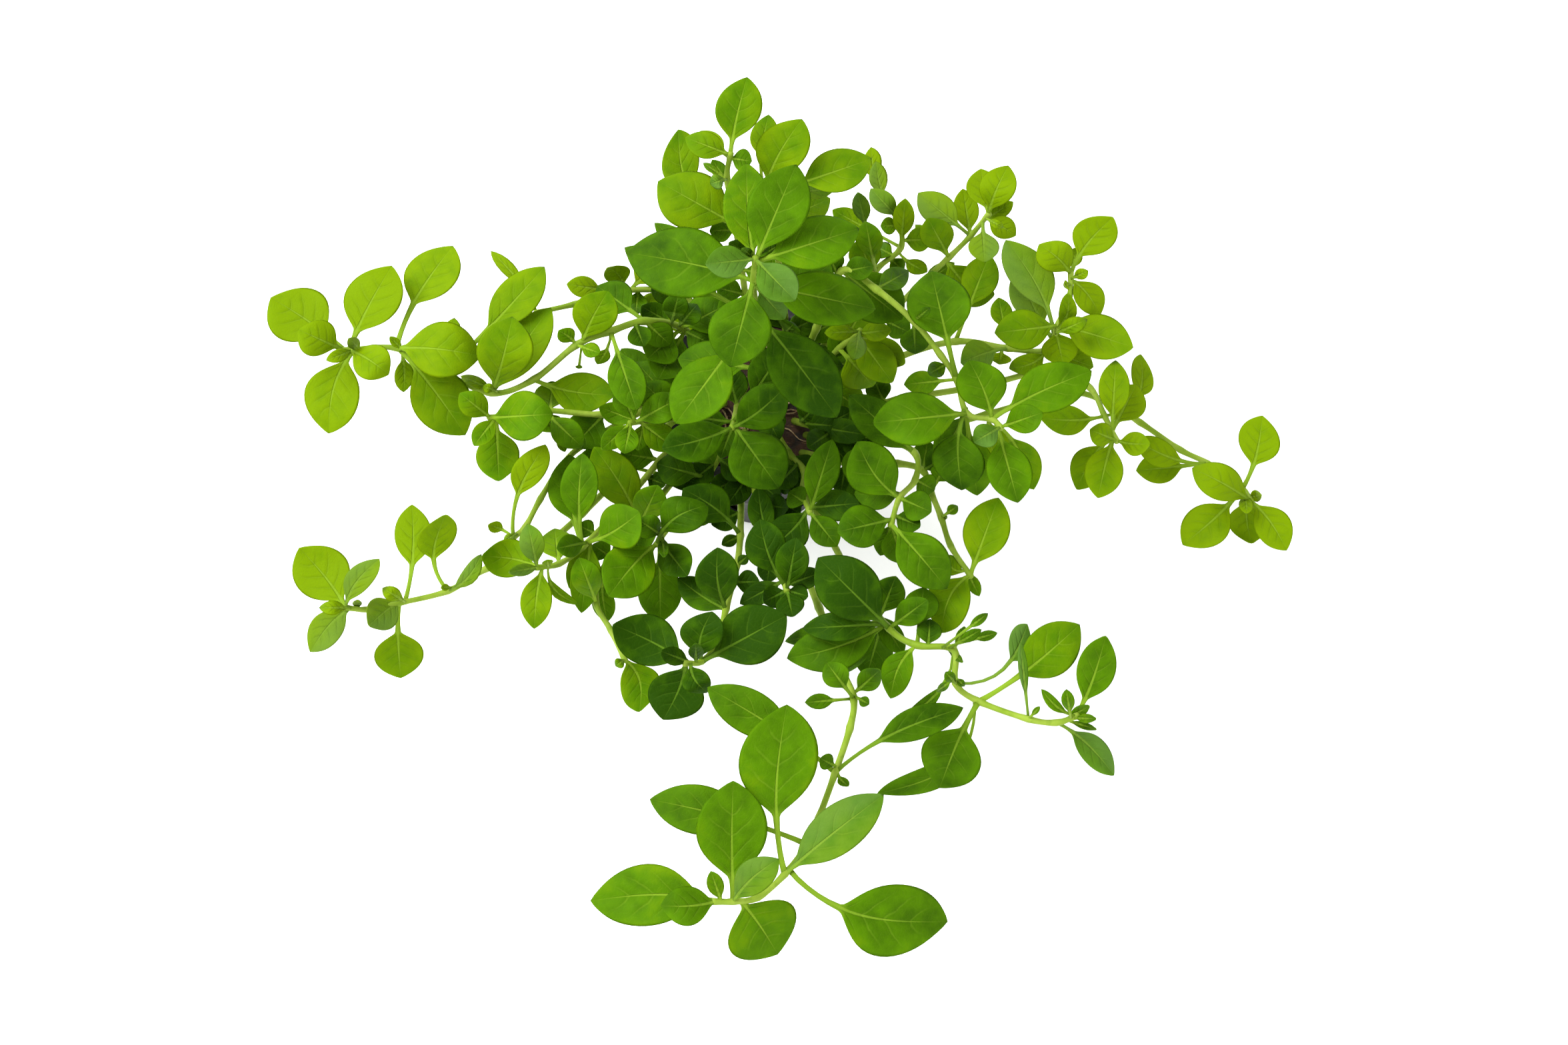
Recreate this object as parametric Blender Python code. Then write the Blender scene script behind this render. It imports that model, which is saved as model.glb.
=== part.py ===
"""Potted marsh seedbox: a slotted nursery pot, its root plug and the leafy shoots that lean out of it.

All tables are in millimetres. The origin is the middle of the pot's base, on the surface it stands on.
"""
import math

import bmesh
import bpy
from mathutils import Vector

MM = 0.001
FIT_GAP = 0.3

POT_HEIGHT = 50.0
POT_RIM_RADIUS = 24.2
POT_LIP_RADIUS = 26.6
POT_LIP_HEIGHT = 2.4
POT_BASE_RADIUS = 18.6
POT_WALL = 1.2
POT_FLOOR = 1.4
POT_SIDES = 24
SLOT_TIERS = ((6.0, 21.5), (25.0, 40.5))
FLOOR_SLOT_REACH = (8.0, 15.5)

PLUG_TOP = 46.6
PLUG_SIDES = 16
PLUG_LUMP = 0.7

STEM_ROOT_RADIUS = 1.15
STEM_TIP_RADIUS = 0.85
STEM_SIDES = 4
STEM_STEP = 18.0
STEM_RISE = 8.0

STALK_HALF_WIDTH = 0.45
STALK_HALF_DEPTH = 0.42
LEAF_KEEL = 0.45
LEAF_LIFT = 0.10
BLADE_ROUNDNESS = 0.72
BLADE_FULLNESS = 4 ** BLADE_ROUNDNESS
BOW_SKEW = 0.85
BUD_BREADTH = 7.4
SMALL_LEAF = 10.0
LARGE_LEAF = 13.0
PAIR_SPACING = 1.6
ROOT_DEPTH = 0.06
OWN_LEAF_COUNT = 31
OWN_LEAF_START = 1.9
OWN_LEAF_SPREAD = math.radians(38)

AIR_BETWEEN_LEAVES = 2.3
SETTLING_ROUNDS = 60
SETTLING_REACH = 12.0
LOWEST_LEAF = 7.0
NEAR_ROOT = 5.0
CELL = 2.0

# The plan places of shoots and leaves are read at the level of the rim, along lines of sight from
# one eye in front of the plant and high above it.
EYE_DISTANCE = 560.0
EYE_ELEVATION = math.radians(70)
EYE_AIM = (6.3, -36.4)
EYE = Vector((
    EYE_AIM[0],
    EYE_AIM[1] - EYE_DISTANCE * math.cos(EYE_ELEVATION),
    POT_HEIGHT + EYE_DISTANCE * math.sin(EYE_ELEVATION),
))

# Each shoot is a route of (x, y, height) from the plug outwards, and the leaves on it, each given by
# its place in the route, its tip (x, y, height), its breadth, the share of its length that is stalk and,
# where the leaf curves in plan, how far its middle bows to the left of the way from stem to tip.
SHOOTS = {
    "left_upper": {
        "route": [(-12, 8, 47), (-21, 19, 64), (-31, 21, 74), (-40, 18, 75), (-49, 14, 73), (-60, 4, 71),
                  (-71, 0, 69), (-84, 6, 70), (-97, 13, 72), (-111, 12.5, 77)],
        "leaves": [
            (9, -131.7, 28, 78, 17, 0.26, -0.8), (9, -123.5, 18.5, 86, 11, 0.15),
            (9, -99.7, 37.5, 84, 15.5, 0.2, 0.7), (9, -98.5, 5.3, 82, 10.5, 0.08, 0.6),
            (9, -113.3, -11.6, 74, 15, 0.14, -2.4), (9, -115.5, 9.5, 84, 4, 0.1),
            (9, -110, 16, 84, 3.5, 0.1), (8, -83.5, 43.5, 78, 14.2, 0.4, 1.9),
            (8, -74.3, 10.8, 74, 16.5, 0.08, 0.9), (8, -77.3, -12, 64, 15.5, 0.2, 0.6),
            (8, -94.3, 0.2, 66, 5.4, 0.2, 0.5), (8, -99, 16.5, 75, 2.5, 0.3),
            (7, -58.4, 37.2, 80, 12, 0.42, -0.6), (7, -82, 22, 72, 5, 0.5),
            (6, -66.5, 22.3, 84, 15.3, 0.12, -0.5), (6, -56.2, 25, 76, 12.5, 0.06, 0.6),
            (6, -79.5, 5, 76, 3.5, 0.2), (6, -73.5, 2, 75, 3, 0.2), (5, -38.5, -0.6, 66, 12, 0.2, -1.3),
            (4, -54, 18.3, 78, 5, 0.2, -0.4), (4, -42.5, 11.5, 80, 4.6, 0.2),
            (4, -41, 30, 86, 12.3, 0.1, 0.5), (3, -43.3, 8.3, 68, 4, 0.5, 0.9),
            (3, -32.5, -5, 80, 10, 0.25), (2, -44, 31.5, 66, 11, 0.3), (1, -9, 26, 72, 12, 0.1),
            (1, -30, 10, 68, 12, 0.25), (4, -48.2, 7, 66, 2, 0.85), (1, -27, 4, 62, 12, 0.15),
            (1, -13.5, 14.5, 66, 8, 0.1), (2, -24, 14, 66, 8, 0.15),
        ],
    },
    "left_back": {
        "route": [(-8, 16, 47), (-22, 29, 56), (-37, 30, 60), (-50, 26, 62), (-60, 23.5, 62)],
        "leaves": [
            (4, -73.2, 42, 64, 4, 0.4, -1.2), (2, -52.3, 32, 74, 6.5, 0.4, 0.3),
            (2, -41.5, 37, 68, 7, 0.2, -1.5), (2, -26, 41, 58, 9, 0.2), (1, -32, 22, 54, 10, 0.2),
            (1, -12, 34, 62, 10, 0.2), (1, -21, 17, 60, 9, 0.1),
        ],
    },
    "crown": {
        "route": [(0, -7, 47), (0, 7, 80), (-1, 23, 110), (-2, 33, 128), (-1.5, 39.5, 139)],
        "leaves": [
            (4, -15, 38, 145, 10, 0.1), (4, 9.3, 27, 144, 11, 0.1), (4, 9.7, 68.5, 144, 17, 0.12),
            (4, 26.8, 48.8, 136, 16, 0.15), (4, -4, 69, 132, 13.5, 0.12, 0.8), (3, -8, 7.5, 124, 17, 0.15),
            (3, -36.5, 41.5, 126, 21.5, 0.1, -0.9), (3, 6.5, 21.5, 120, 8, 0.2),
            (3, 31, 24.5, 122, 16, 0.15), (2, 20.3, -7, 100, 17.5, 0.15, 0.5),
            (2, -22.3, -8.8, 104, 15.5, 0.36), (2, -37, 43, 114, 12, 0.3), (1, 22, 8, 74, 13, 0.2),
            (1, -22, 10, 76, 13, 0.2), (2, 19, 38, 110, 14, 0.25),
        ],
    },
    "crown_back": {
        "route": [(-2, 9, 47), (-4, 28, 80), (-7, 50, 104), (-9.3, 64, 116), (-8.5, 71.5, 122)],
        "leaves": [
            (4, -4, 96.2, 128, 13, 0.18, 0.5), (4, -21, 77, 124, 8.5, 0.1), (4, -17, 79, 118, 6, 0.2),
            (3, -16, 69, 114, 2.5, 0.3), (3, -14, 62.5, 116, 5, 0.2), (2, -23, 79.5, 104, 11.5, 0.45, 6),
            (2, -28.3, 63.3, 112, 18, 0.1), (1, -29, 50.5, 84, 8, 0.3), (1, 10, 44, 84, 11, 0.2),
            (3, -13.5, 70, 110, 4.5, 0.1),
        ],
    },
    "back_right": {
        "route": [(7, 12, 47), (6, 30, 78), (3, 50, 102), (1, 60, 112)],
        "leaves": [
            (3, 11.3, 82.8, 124, 14.2, 0.15, 1.3), (3, 2, 84.2, 110, 7.5, 0.45, 1.5),
            (3, 30.5, 70.3, 114, 13.5, 0.35), (3, 20.5, 61, 106, 5.5, 0.4), (2, 19, 58, 96, 10, 0.2),
            (1, 20, 42, 74, 11, 0.2),
        ],
    },
    "back_mid": {
        "route": [(13, 8, 47), (23, 23, 62), (31, 36, 72), (38, 43, 78), (37.5, 52, 84)],
        "leaves": [
            (3, 39.5, 58, 90, 6, 0.2), (4, 30, 61, 88, 6.5, 0.1), (4, 31.6, 69.5, 86, 5.4, 0.45, 1.6),
            (4, 30.3, 74, 82, 5.5, 0.6, 2.2), (2, 28.5, 51, 90, 7.5, 0.25), (3, 19.5, 54.5, 80, 6.5, 0.5),
            (2, 26.5, 60, 84, 5, 0.6), (3, 45, 35.5, 74, 5, 0.35, -0.8), (1, 32, 25, 60, 9, 0.2),
            (1, 12, 16, 60, 9, 0.15), (2, 26.5, 45.5, 80, 9, 0.1),
        ],
    },
    "back_far": {
        "route": [(17, 5, 47), (30, 18, 58), (42, 31, 68), (51, 40, 76), (57, 46.5, 82), (62, 53, 88)],
        "leaves": [
            (5, 68, 68.2, 95, 10, 0.1, 0.5), (5, 60.4, 67.2, 86, 9.8, 0.15),
            (5, 69.3, 46.5, 86, 7, 0.12, 0.3), (5, 66, 49, 92, 2.8, 0.2), (5, 60.5, 38.5, 90, 8.5, 0.25),
            (4, 55.3, 61, 80, 7, 0.12), (4, 43, 59.7, 86, 9.6, 0.25), (3, 45.5, 52, 90, 9.5, 0.15),
            (3, 42, 50, 74, 5, 0.2), (2, 63, 29, 70, 9, 0.45), (2, 52.5, 38.5, 72, 5, 0.2),
            (3, 59, 26, 70, 11, 0.1), (5, 69, 57, 88, 5, 0.1),
        ],
    },
    "right_mid": {
        "route": [(9, 3, 47), (15, 19, 76), (22, 36, 97), (31, 30.5, 102), (41, 21, 102), (48, 11, 100),
                  (52, 4, 98), (54.5, -5.8, 98), (61, -7.5, 100), (63.2, -9.7, 102)],
        "leaves": [
            (2, 38, 21.5, 94, 15, 0.1), (4, 45.5, 25, 106, 3, 0.2), (4, 41.3, 11.3, 92, 8, 0.2),
            (6, 46, 36, 106, 17.5, 0.36), (6, 38, 2.5, 90, 7, 0.3), (7, 29.5, -8.5, 102, 15.5, 0.1),
            (7, 46.5, -19.5, 86, 8.5, 0.08), (7, 52.5, -27.5, 94, 14, 0.3, -1.5),
            (7, 56.5, -29, 84, 11, 0.3), (8, 55.5, 9.5, 108, 13.4, 0.12, -0.8),
            (8, 88, 6.5, 106, 14, 0.2, 1.0), (9, 74.5, -5.5, 112, 8.5, 0.12), (9, 56, -14, 104, 7, 0.1),
            (9, 67, -31, 100, 12, 0.2), (9, 71.3, -27.3, 90, 9, 0.25, 1.6), (1, 22, 28, 72, 9, 0.1),
            (3, 40, 36, 84, 7, 0.1),
        ],
    },
    "right_upper": {
        "route": [(19, -1, 47), (36, 10, 60), (52, 15, 70), (66, 13, 76), (76.3, 12.5, 80),
                  (79.5, 19.7, 85), (83, 28, 87), (83.7, 35, 89)],
        "leaves": [
            (5, 99.4, 13.2, 90, 13.3, 0.1, 0.4), (5, 62.5, 17.5, 92, 12, 0.08), (5, 80.5, 8, 84, 10, 0.1),
            (5, 82.8, 29.5, 96, 5, 0.1, -1.6), (5, 87.5, 21.5, 92, 5, 0.15),
            (5, 66.5, 45.3, 94, 12, 0.24, -2.0), (5, 69.5, 37, 86, 10.5, 0.2, 0.8),
            (7, 75.5, 44, 94, 10.5, 0.08, -0.8), (7, 96, 52.3, 96, 11.5, 0.27, 1.3),
            (7, 91, 22.6, 86, 8.4, 0.08, 1.1), (7, 88.5, 36, 94, 3.5, 0.2), (7, 81.8, 31.5, 93, 3, 0.1),
            (3, 53.2, 8.7, 82, 9.6, 0.25, -0.6), (3, 64, 28, 78, 6, 0.4), (3, 63.5, 8.5, 74, 6, 0.3),
            (2, 62, 41, 80, 10, 0.42), (4, 88.5, 7.5, 76, 9, 0.1), (4, 66, 7, 74, 6.5, 0.12, 1.5),
            (7, 85.5, 43, 88, 4.5, 0.45),
        ],
    },
    "right_cluster": {
        "route": [(17, -8, 47), (36, -2, 58), (58, 2, 68), (79, 7, 75), (87.3, 1.5, 79), (90.7, -6.5, 82),
                  (93.5, -13.5, 86)],
        "leaves": [
            (6, 86.6, -10.4, 92, 7, 0.08), (6, 102.3, -14.4, 93, 7, 0.1, -0.5),
            (6, 87.8, -29.7, 88, 10.2, 0.15, -0.3), (6, 82.4, -27.3, 80, 9, 0.22, -1.4),
            (6, 94.5, 9.6, 88, 8.4, 0.2), (6, 99.6, 2.5, 82, 10.4, 0.2),
            (5, 101.3, 11.3, 76, 6.8, 0.45, -5), (5, 73.8, -7.2, 88, 8.8, 0.2, 0.9),
            (3, 68.5, -9, 64, 9, 0.2), (1, 40, -9, 56, 6, 0.1),
        ],
    },
    "right_far": {
        "route": [(12, -12, 47), (34, -13, 54), (60, -6, 60), (80, 0, 63), (90.5, -2, 65), (100, -8.4, 65),
                  (110, -16.1, 65), (117, -20, 66), (125.5, -27, 69), (127.5, -30.5, 72)],
        "leaves": [
            (9, 112.8, -21.2, 78, 10.4, 0.08, -0.5), (9, 135.7, -44.1, 72, 9.9, 0.1, 1.0),
            (9, 126.8, -42.2, 66, 10, 0.1, -0.8), (9, 130.5, -28.8, 79, 3.4, 0.1),
            (9, 126.2, -34, 79, 4, 0.1), (8, 132.3, -6.4, 78, 11.2, 0.33, -1.2),
            (8, 109, -42.6, 66, 11.6, 0.26, 0.7), (7, 98.1, -22, 60, 8.6, 0.35),
            (7, 98.3, -13.3, 72, 8, 0.33, 1.7), (2, 61, -19, 56, 10, 0.2),
        ],
    },
    "right_low": {
        "route": [(11, -17, 47), (24, -20, 58), (36, -20, 68), (42.5, -22, 74), (44.5, -28, 77),
                  (47, -35, 79), (49.2, -42.7, 80), (54, -50.8, 82)],
        "leaves": [
            (7, 62, -29.5, 88, 12, 0.15), (7, 46.3, -66.3, 84, 11.5, 0.05, -2.2),
            (5, 51.4, -31.8, 82, 3, 0.35), (5, 48.5, -34.8, 83, 1.6, 0.2), (1, 30, -33, 62, 11, 0.2),
            (3, 50, -17, 78, 8, 0.1), (3, 44, -13.5, 72, 7, 0.1), (7, 48.3, -45.3, 78, 5, 0.1, 2.0),
            (4, 48.5, -20.5, 76, 6, 0.4), (7, 56.2, -56.5, 80, 3.5, 0.1),
        ],
    },
    "front_right": {
        "route": [(9, -8, 47), (20, -11, 64), (31, -12.5, 76), (40.5, -17, 82), (40.5, -24.5, 84),
                  (36.3, -29.6, 87), (34, -36.9, 90)],
        "leaves": [
            (3, 23.5, -0.5, 86, 11.5, 0.08), (1, 33, -5, 70, 12, 0.25), (2, 24, -26, 72, 11, 0.2),
            (5, 25.5, -13.8, 94, 14, 0.08, 1.6), (5, 44.5, -33.5, 94, 9, 0.1),
            (6, 48, -54.5, 90, 13.2, 0.12, 0.3), (6, 36.8, -47.8, 84, 8.5, 0.1), (6, 20, -39, 96, 12, 0.1),
            (6, 31, -45.5, 84, 6, 0.2), (1, 31, -16, 66, 8, 0.1), (5, 24.5, -28.5, 80, 9, 0.1),
            (4, 45.5, -27.5, 80, 7, 0.1),
        ],
    },
    "right_front": {
        "route": [(5, -16, 47), (15, -34, 60), (24, -52, 74), (33, -65, 85), (40, -69.5, 89),
                  (49.3, -70.7, 91), (49.5, -79.5, 93), (55.2, -84.2, 95), (67.5, -88.8, 97),
                  (74.5, -89.7, 98), (79.5, -88, 100)],
        "leaves": [
            (10, 88, -67, 104, 9.8, 0.2, -0.7), (9, 88.2, -103.2, 96, 7.2, 0.22, 1.3),
            (10, 71, -81, 104, 3, 0.2, 1.2), (10, 77.3, -81, 108, 3.4, 0.2),
            (10, 84.5, -88.7, 106, 2.5, 0.2), (10, 84.5, -91.5, 102, 2, 0.2),
            (8, 66.2, -68.5, 106, 2.5, 0.3), (8, 70.5, -85.5, 101, 1.5, 0.3),
            (7, 81.5, -64, 102, 13, 0.38, -1.1), (7, 44.8, -106.4, 92, 15.5, 0.32, -0.6),
            (7, 29.3, -107.8, 84, 7, 0.35, 8.0), (6, 68.2, -63.9, 98, 7, 0.6, -5.0),
            (6, 47, -76.5, 99, 3, 0.1), (6, 44.8, -81.7, 98, 2.2, 0.3), (6, 51.8, -80.3, 98, 2, 0.2),
            (5, 36.2, -89, 90, 3.4, 0.42, 3.0), (5, 52.3, -64.5, 97, 2.4, 0.2), (5, 51.5, -74, 94, 2, 0.15),
            (5, 56.5, -65.3, 98, 3, 0.35), (5, 60.5, -66.2, 97, 2.8, 0.6), (5, 58.3, -61, 100, 2.5, 0.6),
            (4, 33, -83.5, 84, 8, 0.1, -1.7), (3, 43, -57.3, 96, 7.5, 0.15), (3, 15, -46, 94, 16, 0.12),
            (3, 11, -65, 90, 8, 0.12), (3, 7, -73, 88, 12.5, 0.1, 1.5), (3, 6.5, -68.5, 78, 6, 0.3),
            (3, 27, -78, 76, 10, 0.15), (3, 35, -51, 90, 8.5, 0.1), (3, 17.5, -77.5, 80, 9, 0.1),
            (3, 36.5, -72, 82, 6, 0.1), (4, 42, -54, 86, 9, 0.38), (10, 83, -85.3, 104, 3, 0.15),
        ],
    },
    "front": {
        "route": [(1, -18, 47), (8, -40, 62), (15.2, -59.5, 70), (21, -76, 84), (23.8, -83.5, 93),
                  (22.8, -91, 98), (19, -102.5, 102), (14.8, -114, 106), (12, -120.5, 108),
                  (6.5, -127.8, 110), (0, -133.5, 112), (-6, -134.5, 113), (-10.5, -134.5, 114)],
        "leaves": [
            (12, -40.8, -134.3, 110, 15.3, 0.1, -1.6), (12, -23.7, -135.5, 118, 9.8, 0.03, 0.6),
            (12, -11.6, -127, 120, 4.2, 0.1), (11, -6.3, -104.5, 120, 17.7, 0.18, 0.4),
            (11, 5, -124, 124, 8.5, 0.06, 1), (11, 4.8, -147.3, 104, 18.8, 0.1, 0.5),
            (9, 7, -85, 120, 19.8, 0.33, 2.4), (9, 31, -108, 114, 12, 0.1, 0.4),
            (9, 46, -139.4, 102, 18.5, 0.36, -5.2), (8, -26.9, -109.2, 110, 12.6, 0.38, -1.2),
            (6, -13, -80.5, 106, 11.5, 0.35, -1), (6, 51.3, -85.8, 102, 8.6, 0.36, 2.2),
            (6, 15.2, -98.8, 106, 4.5, 0.2), (6, 22.3, -106, 104, 2.6, 0.4, -0.8),
            (4, 11.5, -84.5, 97, 4.2, 0.4), (4, 17, -74, 100, 7, 0.3), (4, 30.5, -76, 101, 6, 0.2),
            (4, 27.7, -85, 98, 3, 0.4),
        ],
    },
    "front_mid": {
        "route": [(-4, -11, 47), (-1, -28, 60), (3, -43, 70), (7, -54.8, 78)],
        "leaves": [
            (3, 9.5, -40.5, 88, 8.8, 0.1), (3, 8.5, -62, 82, 7.5, 0.1), (3, 0, -35.5, 84, 11, 0.2, 1.2),
            (3, 16, -50, 82, 6, 0.1), (2, 3.5, -36.5, 70, 8, 0.1), (2, 2, -53, 66, 6, 0.2),
            (3, -5, -58.5, 72, 6, 0.1), (2, -0.5, -26.5, 72, 7, 0.1, 0.6),
        ],
    },
    "front_left": {
        "route": [(-4.5, -18, 47), (-4.8, -27, 54), (-5, -40, 64), (-5.8, -48, 70), (-8.5, -60, 76),
                  (-10.8, -69, 80), (-14.5, -73.8, 83), (-18.5, -74.3, 86)],
        "leaves": [
            (2, -20, -27, 76, 11.5, 0.25, -1.4), (2, -9.8, -42.5, 69, 3.5, 0.1), (3, -3, -45.5, 75, 3, 0.1),
            (4, -10.8, -43.2, 88, 11.4, 0.1, 1.2), (6, 7, -61.5, 90, 16, 0.15),
            (6, -12, -60.5, 90, 11, 0.1, 1.6), (7, -37.3, -64, 90, 13.6, 0.08, -0.8),
            (7, -24, -89, 80, 14.4, 0.08, 0.8), (7, -13, -82, 90, 7, 0.1, -1.2), (7, -25, -71, 94, 5, 0.1),
            (7, -16, -69, 94, 4, 0.1), (4, -21, -51.5, 70, 8, 0.05, 0.5),
        ],
    },
    "left_front": {
        "route": [(-8.5, -14, 47), (-14, -24, 56), (-21, -34, 64), (-26.5, -42.3, 71)],
        "leaves": [
            (3, -13.5, -31.5, 76, 11.5, 0.2, 2.6), (3, -38.5, -56.5, 80, 14.5, 0.08, -0.8),
            (3, -18.5, -51, 78, 9, 0.1), (3, -25.2, -63.5, 68, 11.4, 0.25), (3, -31.5, -35.5, 82, 7, 0.1),
            (3, -24.5, -46, 80, 3, 0.1), (1, -27, -20, 60, 10, 0.2), (2, -11.5, -33, 62, 8, 0.2),
            (1, -5.2, -28, 52, 4.6, 0.5, 1.2), (1, -23, -26, 58, 6, 0.15), (2, -38, -45, 58, 8, 0.3),
        ],
    },
    "left_mid": {
        "route": [(-13, -12, 47), (-22, -24, 55), (-31, -37, 62), (-40, -49, 65), (-41.7, -58, 65),
                  (-37.6, -65.7, 66), (-34, -73.3, 68)],
        "leaves": [
            (6, -30, -87, 66, 10.3, 0.05, 2.2), (6, -36.3, -75, 70, 3, 0.1), (4, -46.5, -46, 76, 8, 0.08),
            (3, -38.7, -63.4, 60, 6, 0.3, -0.7), (2, -43.5, -15.3, 78, 11.5, 0.16, -1.0),
            (1, -47, -17.5, 66, 8, 0.6), (2, -26.5, -26, 76, 9, 0.1),
        ],
    },
    "left_rosette": {
        "route": [(-16, -7, 47), (-26, -19, 57), (-36, -32, 65), (-45.5, -43, 70), (-51.5, -47.7, 74),
                  (-57, -48.7, 77)],
        "leaves": [
            (5, -71.5, -45.7, 80, 10.8, 0.08, -1.0), (5, -60, -36.7, 88, 6.5, 0.1),
            (5, -64.5, -50, 86, 3.5, 0.15), (5, -57.2, -65.2, 74, 8.2, 0.1, -0.5),
            (5, -54.6, -46.5, 84, 3, 0.1), (5, -46, -58.8, 70, 3, 0.2, -2.5), (4, -53, -38, 68, 9, 0.15),
            (3, -46.5, -17, 84, 10, 0.28, 1.0), (3, -50, -17.5, 74, 11.5, 0.28, 1.3),
            (3, -31, -33.5, 84, 13, 0.2, -1.0), (3, -52.3, -43.5, 84, 6.5, 0.1),
            (3, -48.5, -54.5, 66, 6, 0.1), (3, -45.3, -61, 66, 8, 0.1), (1, -36.5, -17, 66, 8, 0.15),
        ],
    },
    "left_low": {
        "route": [(-17.5, -2, 47), (-31, -17, 53), (-46, -34, 56), (-58, -44.5, 57), (-70, -49, 57),
                  (-79.5, -55, 58), (-92, -58.3, 61), (-100, -60, 63), (-105.5, -59.5, 66)],
        "leaves": [
            (8, -118.6, -43.3, 68, 14.3, 0.1, -0.7), (8, -97.7, -46.3, 74, 7, 0.1, 1.5),
            (8, -112.3, -59.5, 71, 4, 0.15), (8, -113.7, -71.3, 64, 8.8, 0.08, -1.1),
            (8, -102.5, -57.3, 71, 2.5, 0.1), (6, -99.3, -64.3, 72, 9.5, 0.03, -0.4),
            (5, -81.3, -34.2, 70, 10, 0.42, 3.5), (6, -90.3, -78.2, 50, 12.6, 0.38, -0.4),
            (6, -90.2, -31.4, 56, 9.8, 0.36, -1.2), (5, -71.5, -45, 68, 4.5, 0.1, -1.5),
            (5, -81.5, -54, 61, 2, 0.3), (6, -96.5, -54.2, 68, 4, 0.1),
        ],
    },
    "left_thin": {
        "route": [(-18, 4, 47), (-31, -5, 57), (-46, -14.5, 65), (-52, -21, 68), (-57, -30, 69),
                  (-60.5, -37.5, 69), (-63.5, -40.5, 69)],
        "leaves": [
            (6, -56.2, -14.6, 80, 8.7, 0.42, 2.6), (6, -70.2, -37, 71, 3.5, 0.45, -0.5),
            (6, -66, -41.5, 72, 2.6, 0.2),
        ],
    },
    "left_side": {
        "route": [(-14, 1, 47), (-27, -2, 60), (-41, -6, 68), (-57, -5, 71), (-71, -7, 74)],
        "leaves": [
            (4, -54.5, -6, 86, 14.5, 0.06), (4, -79.5, 0, 80, 7.5, 0.08), (4, -75, -15, 80, 6, 0.1),
            (4, -68, -25, 76, 11.5, 0.2), (3, -54.5, -11, 66, 7, 0.2), (3, -46.5, -15.5, 74, 8, 0.2),
            (3, -51, -16.8, 62, 2.8, 0.6), (2, -49, -15, 62, 12, 0.1), (3, -55, 3.5, 66, 9, 0.1),
            (1, -37, 13, 58, 9, 0.3),
        ],
    },
    "left_inner": {
        "route": [(-9.5, -3, 47), (-21, -7, 62), (-34, -8.5, 74)],
        "leaves": [
            (2, -41.5, -16, 80, 6, 0.1), (2, -35.5, -17.3, 80, 6.5, 0.1), (2, -37.5, 2, 78, 7, 0.1),
            (2, -21, -1, 80, 9, 0.1), (2, -22, -16, 70, 8, 0.1), (1, -12, -20, 60, 9, 0.15),
            (1, -31, 3, 68, 10, 0.2), (2, -42.5, -4, 72, 6.5, 0.1), (2, -32, -16.5, 66, 5, 0.1),
            (1, -33, 9, 60, 11, 0.25),
        ],
    },
    "inner": {
        "route": [(-4, 2, 47), (-6, -4, 64), (-7.3, -9.7, 76)],
        "leaves": [
            (2, 6.8, 2, 88, 12.5, 0.06, -1), (2, -25.7, -15.8, 86, 12, 0.08, 0.8), (2, 5, -27, 80, 16, 0.1),
            (2, -10.3, -18.5, 74, 6, 0.1), (2, -23, -6, 80, 9, 0.1), (2, 7, 14, 94, 11, 0.35),
            (1, -9, 8, 64, 9, 0.1),
        ],
    },
    "inner_right": {
        "route": [(5, -3, 47), (14, 5, 64), (21, 13, 76), (26.5, 18, 83)],
        "leaves": [
            (3, 17, 17.5, 90, 5, 0.1), (3, 25, 9.5, 92, 5.5, 0.1), (3, 35, 3, 86, 10.5, 0.1),
            (3, 35, 18.5, 90, 6, 0.1), (3, 38.5, 8.5, 82, 9, 0.2), (2, 30, 2, 70, 12, 0.25),
            (2, 29, 27, 80, 11, 0.2), (1, 27, -5, 62, 10, 0.3), (1, 22, -10, 58, 12, 0.2),
        ],
    },
    "inner_front": {
        "route": [(4, -11, 47), (7.5, -17, 56), (11.5, -22, 64), (11, -28, 70), (13, -33.5, 75)],
        "leaves": [
            (4, 19, -13.2, 86, 9, 0.1), (4, 20, -43, 80, 8, 0.1), (4, 2, -44, 74, 10.5, 0.1, 1.0),
            (4, 26, -31, 80, 9, 0.1), (2, 17, -29, 62, 7, 0.2), (1, -7, -23, 60, 9, 0.2),
            (1, 9, -28, 56, 7, 0.1), (4, 7.5, -28, 72, 7, 0.1),
        ],
    },
}







def placed(x, y, height):
    """The point of this height on the line of sight that crosses the rim's level at x, y."""
    share = (EYE.z - height) / (EYE.z - POT_HEIGHT)
    return Vector((EYE.x + (x - EYE.x) * share, EYE.y + (y - EYE.y) * share, height))


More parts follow.
